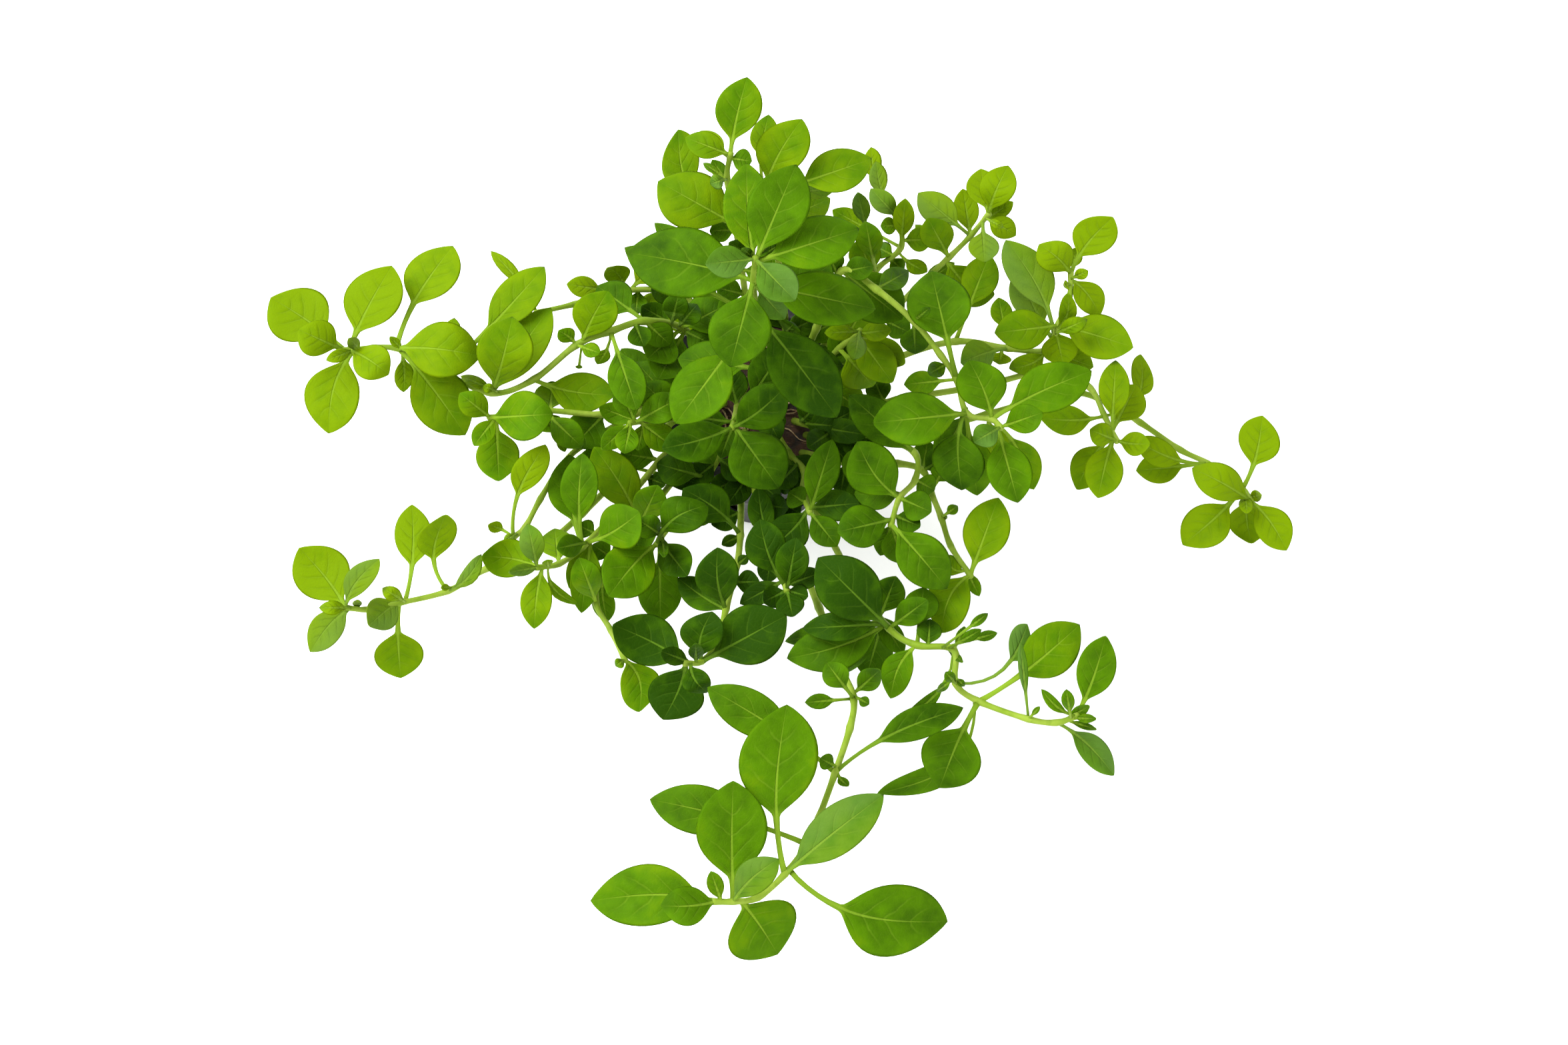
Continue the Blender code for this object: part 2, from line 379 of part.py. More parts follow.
class Leaf:
    """One leaf, from its place on the stem to its tip, with the heights of its middle and tip free."""

    def __init__(self, shoot, order, root, row):
        self.shoot = shoot
        self.order = order
        self.place, tip_x, tip_y, self.tip_height, self.breadth, self.stalk = row[:6]
        self.bow = row[6] if len(row) > 6 else 0.0
        self.root = Vector(root[:2])
        self.root_height = root[2]
        self.tip = Vector((tip_x, tip_y))
        self.length = (self.tip - self.root).length
        level = (self.root_height + self.tip_height) / 2
        self.middle_height = level + LEAF_LIFT * self.length
        self.roll = 0.12 * math.sin(2.4 * order)
        self.first_heights = (self.middle_height, self.tip_height)

    def half_breadth(self, t):
        if t <= self.stalk:
            return STALK_HALF_WIDTH
        along = (t - self.stalk) / (1 - self.stalk)
        blade = BLADE_FULLNESS * (along * max(0.0, 1 - along)) ** BLADE_ROUNDNESS
        return max(STALK_HALF_WIDTH * (1 - along), blade * self.breadth / 2)

    def height(self, t):
        return ((1 - t) ** 2 * self.root_height + 2 * t * (1 - t) * self.middle_height
                + t * t * self.tip_height)

    def plan(self, t, side):
        """Where the leaf's point is seen at the rim's level; side runs from -1 to 1 across the blade."""
        axis = self.root.lerp(self.tip, t)
        along = (self.tip - self.root).normalized()
        across = Vector((-along.y, along.x))
        bow = self.bow * math.sin(math.pi * max(0.0, t) ** BOW_SKEW)
        return axis + across * (side * self.half_breadth(t) + bow)

    def point(self, t, side, drop=0.0):
        seen = self.plan(t, side)
        height = self.height(t) + self.roll * side * self.half_breadth(t)
        return placed(seen.x, seen.y, height) - Vector((0, 0, drop))


def curve_through(route, spacing):
    """Points along a smooth curve through the route, and the numbers of the route's own points."""
    points = [Vector(point) for point in route]
    ends = [points[0] * 2 - points[1]] + points + [points[-1] * 2 - points[-2]]
    path = []
    nodes = []
    for index in range(len(points) - 1):
        nodes.append(len(path))
        p0, p1, p2, p3 = ends[index:index + 4]
        steps = max(1, round((p2 - p1).length / spacing))
        for step in range(steps):
            t = step / steps
            path.append(0.5 * (2 * p1 + (p2 - p0) * t + (2 * p0 - 5 * p1 + 4 * p2 - p3) * t * t
                               + (3 * p1 - p0 - 3 * p2 + p3) * t ** 3))
    nodes.append(len(path))
    path.append(points[-1])
    return path, nodes


def stem_path(name, spacing):
    """The shoot's smooth line, which rises out of the pot before it leans, and its nodes' numbers."""
    route = [Vector(point) for point in SHOOTS[name]["route"]]
    knee = route[0].lerp(route[1], 0.25)
    knee.z = route[0].z + STEM_RISE
    path, nodes = curve_through([route[0], knee] + route[1:], spacing)
    return path, [nodes[0]] + nodes[2:]


def back_along(path, index, distance):
    """The point of the path this far before its numbered point."""
    while distance > 0 and index > 0:
        step = path[index - 1] - path[index]
        if step.length >= distance:
            return path[index] + step.normalized() * distance
        distance -= step.length
        index -= 1
    return path[index]


def all_leaves():
    """The leaves of every shoot; where several share a node, each pair sits a little below the last."""
    leaves = []
    for name, shoot in SHOOTS.items():
        path, nodes = stem_path(name, STEM_STEP)
        shared = {}
        for row in shoot["leaves"]:
            before = shared.get(row[0], 0)
            shared[row[0]] = before + 1
            root = back_along(path, nodes[row[0]], PAIR_SPACING * (before // 2))
            leaves.append(Leaf(name, len(leaves), root, row))
    return leaves


def cell_of(seen):
    return round(seen.x / CELL), round(seen.y / CELL)


def stem_cells():
    """The cells that the stems cross in plan, with the stem's height and name in each."""
    cells = {}
    for name in SHOOTS:
        for point in stem_path(name, CELL)[0]:
            cells.setdefault(cell_of(point), []).append((name, point.z))
    return cells


def settle(leaves):
    """Leaves that cross in plan move apart along the line of sight until there is air between them."""
    stems = stem_cells()
    samples = [(t / 10, side / 2) for t in range(1, 11) for side in range(-2, 3)]
    covers = []
    for leaf in leaves:
        cover = {}
        for t, side in samples:
            cover.setdefault(cell_of(leaf.plan(t, side)), (t, side))
        covers.append(cover)
    owners = {}
    for index, cover in enumerate(covers):
        for cell in cover:
            owners.setdefault(cell, []).append(index)

    def height_at(index, cell):
        t, side = covers[index][cell]
        leaf = leaves[index]
        return leaf.height(t) + leaf.roll * side * leaf.half_breadth(t)

    shared = {}
    for cell, indices in owners.items():
        for first in indices:
            for second in indices:
                if first < second:
                    shared.setdefault((first, second), []).append(cell)
    order = {}
    for pair, cells in shared.items():
        difference = sum(height_at(pair[0], cell) - height_at(pair[1], cell) for cell in cells)
        order[pair] = 1 if difference >= 0 else -1
    over_stems = {}
    for index, cover in enumerate(covers):
        leaf = leaves[index]
        for cell, (t, side) in cover.items():
            for name, height in stems.get(cell, []):
                if name != leaf.shoot or t * leaf.length > NEAR_ROOT:
                    over_stems.setdefault((index, name), []).append((cell, height))
    crossings = []
    for (index, name), places in over_stems.items():
        difference = sum(height_at(index, cell) - height for cell, height in places)
        for cell, height in places:
            crossings.append((index, cell, height, 1 if difference >= 0 else -1))

    for _ in range(SETTLING_ROUNDS):
        moves = {}

        def push(index, cell, amount):
            t = covers[index][cell][0]
            middle_share = 2 * t * (1 - t)
            tip_share = t * t
            both = middle_share ** 2 + tip_share ** 2 + 0.02
            change = moves.setdefault(index, [0.0, 0.0, 0.0, 0.0])
            middle = amount * middle_share / both
            tip = amount * tip_share / both
            change[0] = max(change[0], middle)
            change[1] = min(change[1], middle)
            change[2] = max(change[2], tip)
            change[3] = min(change[3], tip)

        for (first, second), cells in shared.items():
            sign = order[first, second]
            for cell in cells:
                air = sign * (height_at(first, cell) - height_at(second, cell))
                if air < AIR_BETWEEN_LEAVES:
                    step = sign * (AIR_BETWEEN_LEAVES - air) * 0.3
                    push(first, cell, step)
                    push(second, cell, -step)
        for index, cell, height, sign in crossings:
            air = sign * (height_at(index, cell) - height)
            if air < AIR_BETWEEN_LEAVES:
                push(index, cell, sign * (AIR_BETWEEN_LEAVES - air) * 0.5)
        if not moves:
            break
        for index, change in moves.items():
            leaf = leaves[index]
            middle, tip = leaf.first_heights
            wanted = leaf.middle_height + change[0] + change[1]
            leaf.middle_height = min(max(wanted, middle - SETTLING_REACH, LOWEST_LEAF), middle + SETTLING_REACH)
            wanted = leaf.tip_height + change[2] + change[3]
            leaf.tip_height = min(max(wanted, tip - SETTLING_REACH, LOWEST_LEAF), tip + SETTLING_REACH)


def new_material(name, colour, roughness):
    material = bpy.data.materials.new(name)
    material.use_nodes = True
    shader = material.node_tree.nodes["Principled BSDF"]
    shader.inputs["Base Color"].default_value = (*colour, 1.0)
    shader.inputs["Roughness"].default_value = roughness
    shader.inputs["Metallic"].default_value = 0.0
    return material


def new_object(name, mesh, material=None):
    made = bpy.data.objects.new(name, mesh)
    bpy.context.scene.collection.objects.link(made)
    if material:
        mesh.materials.append(material)
    return made


def as_cutter(cutter):
    cutter.hide_render = True
    cutter.display_type = "WIRE"
    return cutter


def unite(target, operand):
    modifier = target.modifiers.new("Union", "BOOLEAN")
    modifier.operation = "UNION"
    modifier.solver = "EXACT"
    modifier.object = as_cutter(operand)


def loft(bm, sections, tip):
    """Skin between rings of points, closed by a flat start and by a single tip point."""
    rings = [[bm.verts.new(point * MM) for point in section] for section in sections]
    last = bm.verts.new(tip * MM)
    count = len(rings[0])
    bm.faces.new(list(reversed(rings[0])))
    for ring, following in zip(rings, rings[1:]):
        for side in range(count):
            beside = (side + 1) % count
            bm.faces.new((ring[side], ring[beside], following[beside], following[side]))
    for side in range(count):
        bm.faces.new((rings[-1][side], rings[-1][(side + 1) % count], last))


def add_leaf(bm, leaf, start):
    """A leaf as a keeled blade on its stalk: flat above, a shallow ridge below."""
    stalk = max(leaf.stalk, start + 0.02)
    shares = (0.4,)
    if leaf.breadth > SMALL_LEAF:
        shares = (0.25, 0.65)
    if leaf.breadth > LARGE_LEAF:
        shares = (0.12, 0.36, 0.68)
    stations = [start, stalk] + [stalk + (1 - stalk) * share for share in shares]
    sections = []
    for t in stations:
        top = 0 if t > stalk else -STALK_HALF_DEPTH
        keel = LEAF_KEEL if t > stalk else STALK_HALF_DEPTH
        sections.append([leaf.point(t, 1, top), leaf.point(t, -1, top), leaf.point(t, 0, keel)])
    loft(bm, sections, leaf.point(1, 0, LEAF_KEEL / 2))


def add_stem(bm, path):
    """A round stem that thins towards its tip."""
    last = len(path) - 1
    side_way = Vector((0, 0, 1)).cross(path[1] - path[0])
    if side_way.length < 0.1:
        side_way = Vector((1, 0, 0))
    sections = []
    for index, point in enumerate(path):
        along = (path[min(index + 1, last)] - path[max(index - 1, 0)]).normalized()
        side_way = (side_way - along * side_way.dot(along)).normalized()
        up_way = along.cross(side_way)
        radius = STEM_ROOT_RADIUS + (STEM_TIP_RADIUS - STEM_ROOT_RADIUS) * index / last
        ring = []
        for side in range(STEM_SIDES):
            angle = 2 * math.pi * side / STEM_SIDES
            ring.append(point + (side_way * math.cos(angle) + up_way * math.sin(angle)) * radius)
        sections.append(ring)
    beyond = (path[-1] - path[-2]).normalized() * STEM_TIP_RADIUS
    sections.append([point + beyond for point in sections[-1]])
    loft(bm, sections, path[-1] + beyond * 2)


def own_leaves(leaves):
    """The largest leaves, each of them well apart from the others at its place on the stem."""
    chosen = []
    for leaf in sorted(leaves, key=lambda one: -one.breadth * one.length):
        heading = (leaf.tip - leaf.root).normalized()
        clear = True
        for other in chosen:
            if (other.shoot, other.place) == (leaf.shoot, leaf.place):
                other_heading = (other.tip - other.root).normalized()
                clear = clear and heading.angle(other_heading) > OWN_LEAF_SPREAD
        if clear and len(chosen) < OWN_LEAF_COUNT:
            chosen.append(leaf)
    return chosen


def distance_to_path(point, path):
    nearest = math.inf
    for near, far in zip(path, path[1:]):
        run = far - near
        share = min(max((point - near).dot(run) / run.length_squared, 0.0), 1.0)
        nearest = min(nearest, (near + run * share - point).length)
    return nearest


def clear_start(leaf, path):
    """The share of an own leaf's length at which its stalk can start without touching the stem."""
    start = OWN_LEAF_START / leaf.length
    while distance_to_path(leaf.point(start, 0), path) < OWN_LEAF_START:
        start += 0.01
    return start


def finish_mesh(bm, name):
    bmesh.ops.triangulate(bm, faces=bm.faces[:])
    bmesh.ops.recalc_face_normals(bm, faces=bm.faces[:])
    mesh = bpy.data.meshes.new(name)
    bm.to_mesh(mesh)
    bm.free()
    return mesh


def build_shoot(name, leaves, own, stem_material, leaf_material):
    path = [placed(*point) for point in stem_path(name, STEM_STEP)[0]]
    stem = bmesh.new()
    add_stem(stem, path)
    shoot = new_object("shoot_" + name, finish_mesh(stem, "shoot_" + name), stem_material)
    for number, leaf in enumerate(leaves, 1):
        single = bmesh.new()
        if leaf in own:
            add_leaf(single, leaf, clear_start(leaf, path))
            new_object(f"leaf_{name}_{number}", finish_mesh(single, "leaf"), leaf_material)
        elif leaf.breadth > BUD_BREADTH:
            add_leaf(single, leaf, -ROOT_DEPTH / leaf.length)
            unite(shoot, new_object(f"grown_{name}_{number}", finish_mesh(single, "grown"), leaf_material))
        else:
            single.free()


def ring_of(bm, radius, height, sides):
    ring = []
    for side in range(sides):
        angle = 2 * math.pi * side / sides
        ring.append(bm.verts.new(Vector((radius * math.cos(angle), radius * math.sin(angle), height)) * MM))
    return ring


def wall_radius(height):
    """Outer radius of the tapered wall."""
    return POT_BASE_RADIUS + (POT_RIM_RADIUS - POT_BASE_RADIUS) * height / POT_HEIGHT


def skin(bm, ring, following, open_sides=()):
    """Faces between two rings, left out at the open sides."""
    count = len(ring)
    for side in range(count):
        if side not in open_sides:
            beside = (side + 1) % count
            bm.faces.new((ring[side], ring[beside], following[beside], following[side]))


def slot_walls(bm, outer_low, outer_high, inner_low, inner_high, open_sides):
    """The four sides of each slot, through the thickness between an outer and an inner pair of rings."""
    for side in open_sides:
        beside = (side + 1) % len(outer_low)
        outer = (outer_low[side], outer_low[beside], outer_high[beside], outer_high[side])
        inner = (inner_low[side], inner_low[beside], inner_high[beside], inner_high[side])
        for corner in range(4):
            after = (corner + 1) % 4
            bm.faces.new((outer[corner], outer[after], inner[after], inner[corner]))


def build_pot(material):
    """A tapered pot with two tiers of slots in its wall, slots in its base and a lip round its rim."""
    bm = bmesh.new()
    slots = range(0, POT_SIDES, 2)
    floor_slots = range(0, POT_SIDES, 4)
    lip_foot = POT_HEIGHT - POT_LIP_HEIGHT
    levels = [level for tier in SLOT_TIERS for level in tier]
    outer = [ring_of(bm, wall_radius(0), 0, POT_SIDES)]
    inner = [ring_of(bm, wall_radius(POT_FLOOR) - POT_WALL, POT_FLOOR, POT_SIDES)]
    for level in levels:
        outer.append(ring_of(bm, wall_radius(level), level, POT_SIDES))
        inner.append(ring_of(bm, wall_radius(level) - POT_WALL, level, POT_SIDES))
    for index in range(len(levels)):
        open_sides = slots if index % 2 else ()
        skin(bm, outer[index], outer[index + 1], open_sides)
        skin(bm, inner[index], inner[index + 1], open_sides)
        slot_walls(bm, outer[index], outer[index + 1], inner[index], inner[index + 1], open_sides)
    lip = [outer[-1], ring_of(bm, wall_radius(lip_foot), lip_foot, POT_SIDES)]
    lip.append(ring_of(bm, POT_LIP_RADIUS, lip_foot + 0.6, POT_SIDES))
    lip.append(ring_of(bm, POT_LIP_RADIUS, POT_HEIGHT - 0.4, POT_SIDES))
    lip.append(ring_of(bm, POT_LIP_RADIUS - 0.5, POT_HEIGHT, POT_SIDES))
    lip.append(ring_of(bm, POT_RIM_RADIUS - POT_WALL, POT_HEIGHT, POT_SIDES))
    lip.append(inner[-1])
    for ring, following in zip(lip, lip[1:]):
        skin(bm, ring, following)
    below = [outer[0]]
    above = [inner[0]]
    for radius in reversed(FLOOR_SLOT_REACH):
        below.append(ring_of(bm, radius, 0, POT_SIDES))
        above.append(ring_of(bm, radius, POT_FLOOR, POT_SIDES))
    for index in range(2):
        open_sides = floor_slots if index else ()
        skin(bm, below[index], below[index + 1], open_sides)
        skin(bm, above[index], above[index + 1], open_sides)
        slot_walls(bm, below[index], below[index + 1], above[index], above[index + 1], open_sides)
    bm.faces.new(below[-1])
    bm.faces.new(above[-1])
    new_object("pot", finish_mesh(bm, "pot"), material)


def build_plug(material):
    """The plug of rooted fibre that fills the pot, with an uneven top."""
    low = POT_FLOOR + FIT_GAP
    inner = POT_WALL + FIT_GAP
    facet_room = 0.25
    profile = [(wall_radius(low) - inner - facet_room, low)]
    profile.append((wall_radius(PLUG_TOP - 2) - inner - facet_room, PLUG_TOP - 2))
    profile.append((wall_radius(PLUG_TOP) - inner - 1.6, PLUG_TOP - 0.4))
    for share in (0.66, 0.33):
        profile.append((wall_radius(PLUG_TOP) * share, PLUG_TOP - 0.6))
    bm = bmesh.new()
    rings = [ring_of(bm, radius, height, PLUG_SIDES) for radius, height in profile]
    for ring in rings[3:]:
        for index, vert in enumerate(ring):
            vert.co.z -= abs(PLUG_LUMP * math.sin(2.1 * index + vert.co.x / MM)) * MM
    for ring, following in zip(rings, rings[1:]):
        skin(bm, ring, following)
    bm.faces.new(rings[0])
    middle = bm.verts.new(Vector((0, 0, PLUG_TOP - 0.8)) * MM)
    for side in range(PLUG_SIDES):
        bm.faces.new((rings[-1][side], rings[-1][(side + 1) % PLUG_SIDES], middle))
    new_object("root_plug", finish_mesh(bm, "root_plug"), material)


for existing in list(bpy.data.objects):
    bpy.data.objects.remove(existing, do_unlink=True)

pot_plastic = new_material("pot_plastic", (0.012, 0.012, 0.013), 0.45)
root_fibre = new_material("root_fibre", (0.06, 0.028, 0.014), 0.95)
green_stem = new_material("green_stem", (0.30, 0.42, 0.05), 0.5)
green_leaf = new_material("green_leaf", (0.16, 0.36, 0.01), 0.5)

build_pot(pot_plastic)
build_plug(root_fibre)
grown_leaves = all_leaves()
settle(grown_leaves)
single_leaves = own_leaves(grown_leaves)
for shoot_name in SHOOTS:
    shoot_leaves = [leaf for leaf in grown_leaves if leaf.shoot == shoot_name]
    build_shoot(shoot_name, shoot_leaves, single_leaves, green_stem, green_leaf)
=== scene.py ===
import math

import bmesh
import bpy
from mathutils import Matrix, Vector, noise


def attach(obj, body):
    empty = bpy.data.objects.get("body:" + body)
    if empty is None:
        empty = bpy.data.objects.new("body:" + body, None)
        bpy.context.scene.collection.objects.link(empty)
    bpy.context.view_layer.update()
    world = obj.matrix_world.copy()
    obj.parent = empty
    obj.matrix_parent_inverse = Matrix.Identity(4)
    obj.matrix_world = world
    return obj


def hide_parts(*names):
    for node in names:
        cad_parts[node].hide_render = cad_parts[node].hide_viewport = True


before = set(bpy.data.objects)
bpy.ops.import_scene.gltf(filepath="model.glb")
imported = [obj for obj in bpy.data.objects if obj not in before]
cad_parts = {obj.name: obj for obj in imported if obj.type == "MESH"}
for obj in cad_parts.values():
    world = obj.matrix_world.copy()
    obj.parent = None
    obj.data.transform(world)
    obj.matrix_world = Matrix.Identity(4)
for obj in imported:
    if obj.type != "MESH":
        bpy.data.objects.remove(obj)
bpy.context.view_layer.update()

# The camera: one eye in front of the plant and high above it, looking down at 70 degrees. Every size
# in this file is in millimetres, and MM turns it into metres. Heights count up from the floor, and
# places in plan are read at the level of the pot's rim.
MM = 0.001
RIM_LEVEL = 50.0
EYE_DISTANCE = 560.0
EYE_ELEVATION = math.radians(70)
EYE_AIM = (6.3, -36.4)
EYE = Vector((
    EYE_AIM[0],
    EYE_AIM[1] - EYE_DISTANCE * math.cos(EYE_ELEVATION),
    RIM_LEVEL + EYE_DISTANCE * math.sin(EYE_ELEVATION),
))
LENS_TO_SENSOR = 3248 / 2352
SENSOR = 36.0
CLIP_START = 0.01
CLIP_END = 20.0

scene = bpy.context.scene
camera_data = bpy.data.cameras.new("camera")
camera_data.sensor_width = SENSOR
camera_data.lens = SENSOR * LENS_TO_SENSOR
camera_data.clip_start = CLIP_START
camera_data.clip_end = CLIP_END
camera = bpy.data.objects.new("camera", camera_data)
camera.location = EYE * MM
camera.rotation_euler = (math.pi / 2 - EYE_ELEVATION, 0, 0)
scene.collection.objects.link(camera)
scene.camera = camera
scene.view_settings.view_transform = "Standard"

# The floor: a plain sheet of pale card that fills the view, with the pot standing loose on it. It is
# part of the studio and not of the plant.


class Signal:
    """A socket of a finish, so that its maths reads as a plain expression."""

    def __init__(self, finish, node, socket):
        self.finish = finish
        self.node = node
        self.socket = socket

    def of(self, name):
        return Signal(self.finish, self.node, self.finish.find(self.node.outputs, name))

    def maths(self, operation, *values):
        return self.finish.node("ShaderNodeMath", {"operation": operation}, dict(enumerate(values)))

    def __add__(self, other):
        return self.maths("ADD", self, other)

    def __radd__(self, other):
        return self.maths("ADD", other, self)

    def __sub__(self, other):
        return self.maths("SUBTRACT", self, other)

    def __rsub__(self, other):
        return self.maths("SUBTRACT", other, self)

    def __mul__(self, other):
        return self.maths("MULTIPLY", self, other)

    def __rmul__(self, other):
        return self.maths("MULTIPLY", other, self)

    def __truediv__(self, other):
        return self.maths("DIVIDE", self, other)

    def __abs__(self):
        return self.maths("ABSOLUTE", self)

    def band(self, start, end):
        """0 before start and 1 past end, with a smooth run between them."""
        settings = {"interpolation_type": "SMOOTHSTEP"}
        places = {"Value": self, "From Min": start, "From Max": end}
        return self.finish.node("ShaderNodeMapRange", settings, places)


class Finish:
    """A material whose nodes are added one call at a time."""

    def __init__(self, name):
        self.material = bpy.data.materials.new(name)
        self.material.use_nodes = True
        self.tree = self.material.node_tree
        self.tree.nodes.clear()

    def find(self, sockets, name):
        if isinstance(name, int):
            return sockets[name]
        return next(socket for socket in sockets if socket.enabled and socket.name == name)

    def node(self, kind, settings=None, sockets=None):
        node = self.tree.nodes.new(kind)
        for name, value in (settings or {}).items():
            setattr(node, name, value)
        for name, value in (sockets or {}).items():
            socket = self.find(node.inputs, name)
            if isinstance(value, Signal):
                self.tree.links.new(value.socket, socket)
            elif socket.type == "RGBA" and len(value) == 3:
                socket.default_value = (*value, 1.0)
            else:
                socket.default_value = value
        shown = [socket for socket in node.outputs if socket.enabled]
        return Signal(self, node, shown[0] if shown else None)

    def mix(self, share, first, second):
        """The first colour where the share is 0 and the second where it is 1."""
        return self.node("ShaderNodeMix", {"data_type": "RGBA"}, {"Factor": share, "A": first, "B": second})

    def noise(self, scale, detail, stretch=(1, 1, 1)):
        place = self.node("ShaderNodeTexCoord").of("Object")
        place = self.node("ShaderNodeMapping", {}, {"Vector": place, "Scale": stretch})
        return self.node("ShaderNodeTexNoise", {}, {"Vector": place, "Scale": scale, "Detail": detail})

    def bump(self, height, distance):
        return self.node("ShaderNodeBump", {}, {"Height": height, "Distance": distance})

    def surface(self, shader):
        self.node("ShaderNodeOutputMaterial", {}, {"Surface": shader})
        return self.material


def new_piece(name, mesh, materials):
    for material in materials:
        mesh.materials.append(material)
    piece = bpy.data.objects.new(name, mesh)
    scene.collection.objects.link(piece)
    return piece


FLOOR_REACH = 6.0
FLOOR_GREY = 0.93
FLOOR_UNEVENNESS = 0.01
FLOOR_ROUGHNESS = 0.9

floor_finish = Finish("pale_floor")
floor_shade = floor_finish.noise(8.0, 2.0)
floor_colour = floor_finish.mix(floor_shade, (FLOOR_GREY,) * 3, (FLOOR_GREY + FLOOR_UNEVENNESS,) * 3)
floor_finish.surface(floor_finish.node(
    "ShaderNodeBsdfPrincipled", {}, {"Base Color": floor_colour, "Roughness": FLOOR_ROUGHNESS},
))
floor_mesh = bpy.data.meshes.new("floor")
floor_mesh.from_pydata(
    [(x * FLOOR_REACH, y * FLOOR_REACH, 0) for x, y in ((-1, -1), (1, -1), (1, 1), (-1, 1))],
    [], [(0, 1, 2, 3)],
)
floor = new_piece("floor", floor_mesh, [floor_finish.material])

# The light: an even white sky and two large soft lamps, a strong one at the back on the left and a
# weak one at the front on the right. Both aim at the middle of the plant.
SKY_LEVEL = 1.15
LAMP_AIM = (0, 0, 60)
LAMPS = {
    "lamp_left": ((-700, 300, 900), 900, 26.0),
    "lamp_front": ((500, -900, 700), 900, 9.0),
}

world = bpy.data.worlds.new("studio")
world.use_nodes = True
world.node_tree.nodes["Background"].inputs["Color"].default_value = (1, 1, 1, 1)
world.node_tree.nodes["Background"].inputs["Strength"].default_value = SKY_LEVEL
scene.world = world
for lamp_name, (lamp_place, lamp_size, lamp_power) in LAMPS.items():
    lamp_data = bpy.data.lights.new(lamp_name, "AREA")
    lamp_data.size = lamp_size * MM
    lamp_data.energy = lamp_power
    lamp = bpy.data.objects.new(lamp_name, lamp_data)
    lamp.location = Vector(lamp_place) * MM
    lamp.rotation_euler = (Vector(LAMP_AIM) - Vector(lamp_place)).to_track_quat("-Z", "Y").to_euler()
    scene.collection.objects.link(lamp)

# The nursery pot: moulded black polypropylene with two tiers of slots in its tapering wall, slots in
# its base, a rolled lip and a reinforcing band round its middle. It stands flat on its base.
POT_HEIGHT = RIM_LEVEL
POT_RIM_RADIUS = 24.2
POT_LIP_RADIUS = 26.6
POT_LIP_HEIGHT = 2.4
LIP_CORNER = 0.5
LIP_CORNER_HEIGHT = 0.6
LIP_FOOT_RISE = 0.1
MOUTH_CORNER = 0.4
POT_BASE_RADIUS = 18.6
POT_TAPER = (POT_RIM_RADIUS - POT_BASE_RADIUS) / POT_HEIGHT
POT_WALL = 1.2
POT_FLOOR = 1.4
POT_FOOT = 0.7
POT_SIDES = 24
STEPS_TO_A_SIDE = 6
POT_STEPS = POT_SIDES * STEPS_TO_A_SIDE
SLOT_TIERS = ((6.0, 21.5), (25.0, 40.5))
SLOT_CORNER = 1.6
SLOT_ROUNDNESS = 0.96
WALL_SLOT_SPACING = 2
FLOOR_SLOT_SPACING = 4
FLOOR_SLOT_REACH = (8.0, 15.5)
BAND_HEIGHT = (SLOT_TIERS[0][1] + SLOT_TIERS[1][0]) / 2
BAND_SWELL = 0.35
BAND_REACH = 1.1
BAND_LEVELS = (-1.2, -0.5, 0.5, 1.2)
RING_GAP = 0.001
POT_EDGE = 0.22
POT_EDGE_ANGLE = math.radians(50)
POT_SHARP_ANGLE = math.radians(42)
POT_BLACK = (0.010, 0.010, 0.011)
POT_DUST = (0.07, 0.065, 0.055)


def wall_radius(height):
    """Outer radius of the tapering wall, with its middle band."""
    plain = POT_BASE_RADIUS + POT_TAPER * height
    return plain + BAND_SWELL * math.exp(-((height - BAND_HEIGHT) / BAND_REACH) ** 2)


def round_axis(radius, angle, height=0.0):
    """The point at this distance from the pot's axis, this angle and this height."""
    return Vector((radius * math.cos(angle), radius * math.sin(angle), height))


def pot_ring(bm, radius, height, bend=(0, 0), spacing=WALL_SLOT_SPACING):
    """A ring of the pot. Where it ends a row of slots it bends, so that the slots' ends are round."""
    ring = []
    for step in range(POT_STEPS):
        angle = 2 * math.pi * step / POT_STEPS
        across = min(1.0, abs(2 * (step % (spacing * STEPS_TO_A_SIDE)) / STEPS_TO_A_SIDE - 1))
        bent = SLOT_CORNER * (1 - math.sqrt(1 - SLOT_ROUNDNESS * across * across))
        ring.append(bm.verts.new(round_axis(radius + bend[0] * bent, angle, height + bend[1] * bent) * MM))
    return ring


def skin(bm, ring, following, open_steps=()):
    """Faces between two rings, but for the steps that stay open."""
    count = len(ring)
    for step in range(count):
        if step not in open_steps:
            beside = (step + 1) % count
            bm.faces.new((ring[step], ring[beside], following[beside], following[step]))


def slot_steps(spacing):
    """The steps of a ring that its slots leave open."""
    return {step for step in range(POT_STEPS) if step % (spacing * STEPS_TO_A_SIDE) < STEPS_TO_A_SIDE}


def close_holes(bm, outer, inner, open_rows):
    """Walls through the thickness round every opening of two matching stacks of rings."""
    last = len(outer) - 1
    for row, steps in enumerate(open_rows):
        for step in steps:
            beside = (step + 1) % POT_STEPS
            sides = []
            if row == 0 or step not in open_rows[row - 1]:
                sides.append(((row, step), (row, beside)))
            if row == last - 1 or step not in open_rows[row + 1]:
                sides.append(((row + 1, beside), (row + 1, step)))
            if (step - 1) % POT_STEPS not in steps:
                sides.append(((row + 1, step), (row, step)))
            if beside not in steps:
                sides.append(((row, beside), (row + 1, beside)))
            for (row_a, step_a), (row_b, step_b) in sides:
                bm.faces.new((outer[row_a][step_a], outer[row_b][step_b],
                              inner[row_b][step_b], inner[row_a][step_a]))


def finished(bm, name):
    mesh = bpy.data.meshes.new(name)
    bm.to_mesh(mesh)
    bm.free()
    return mesh


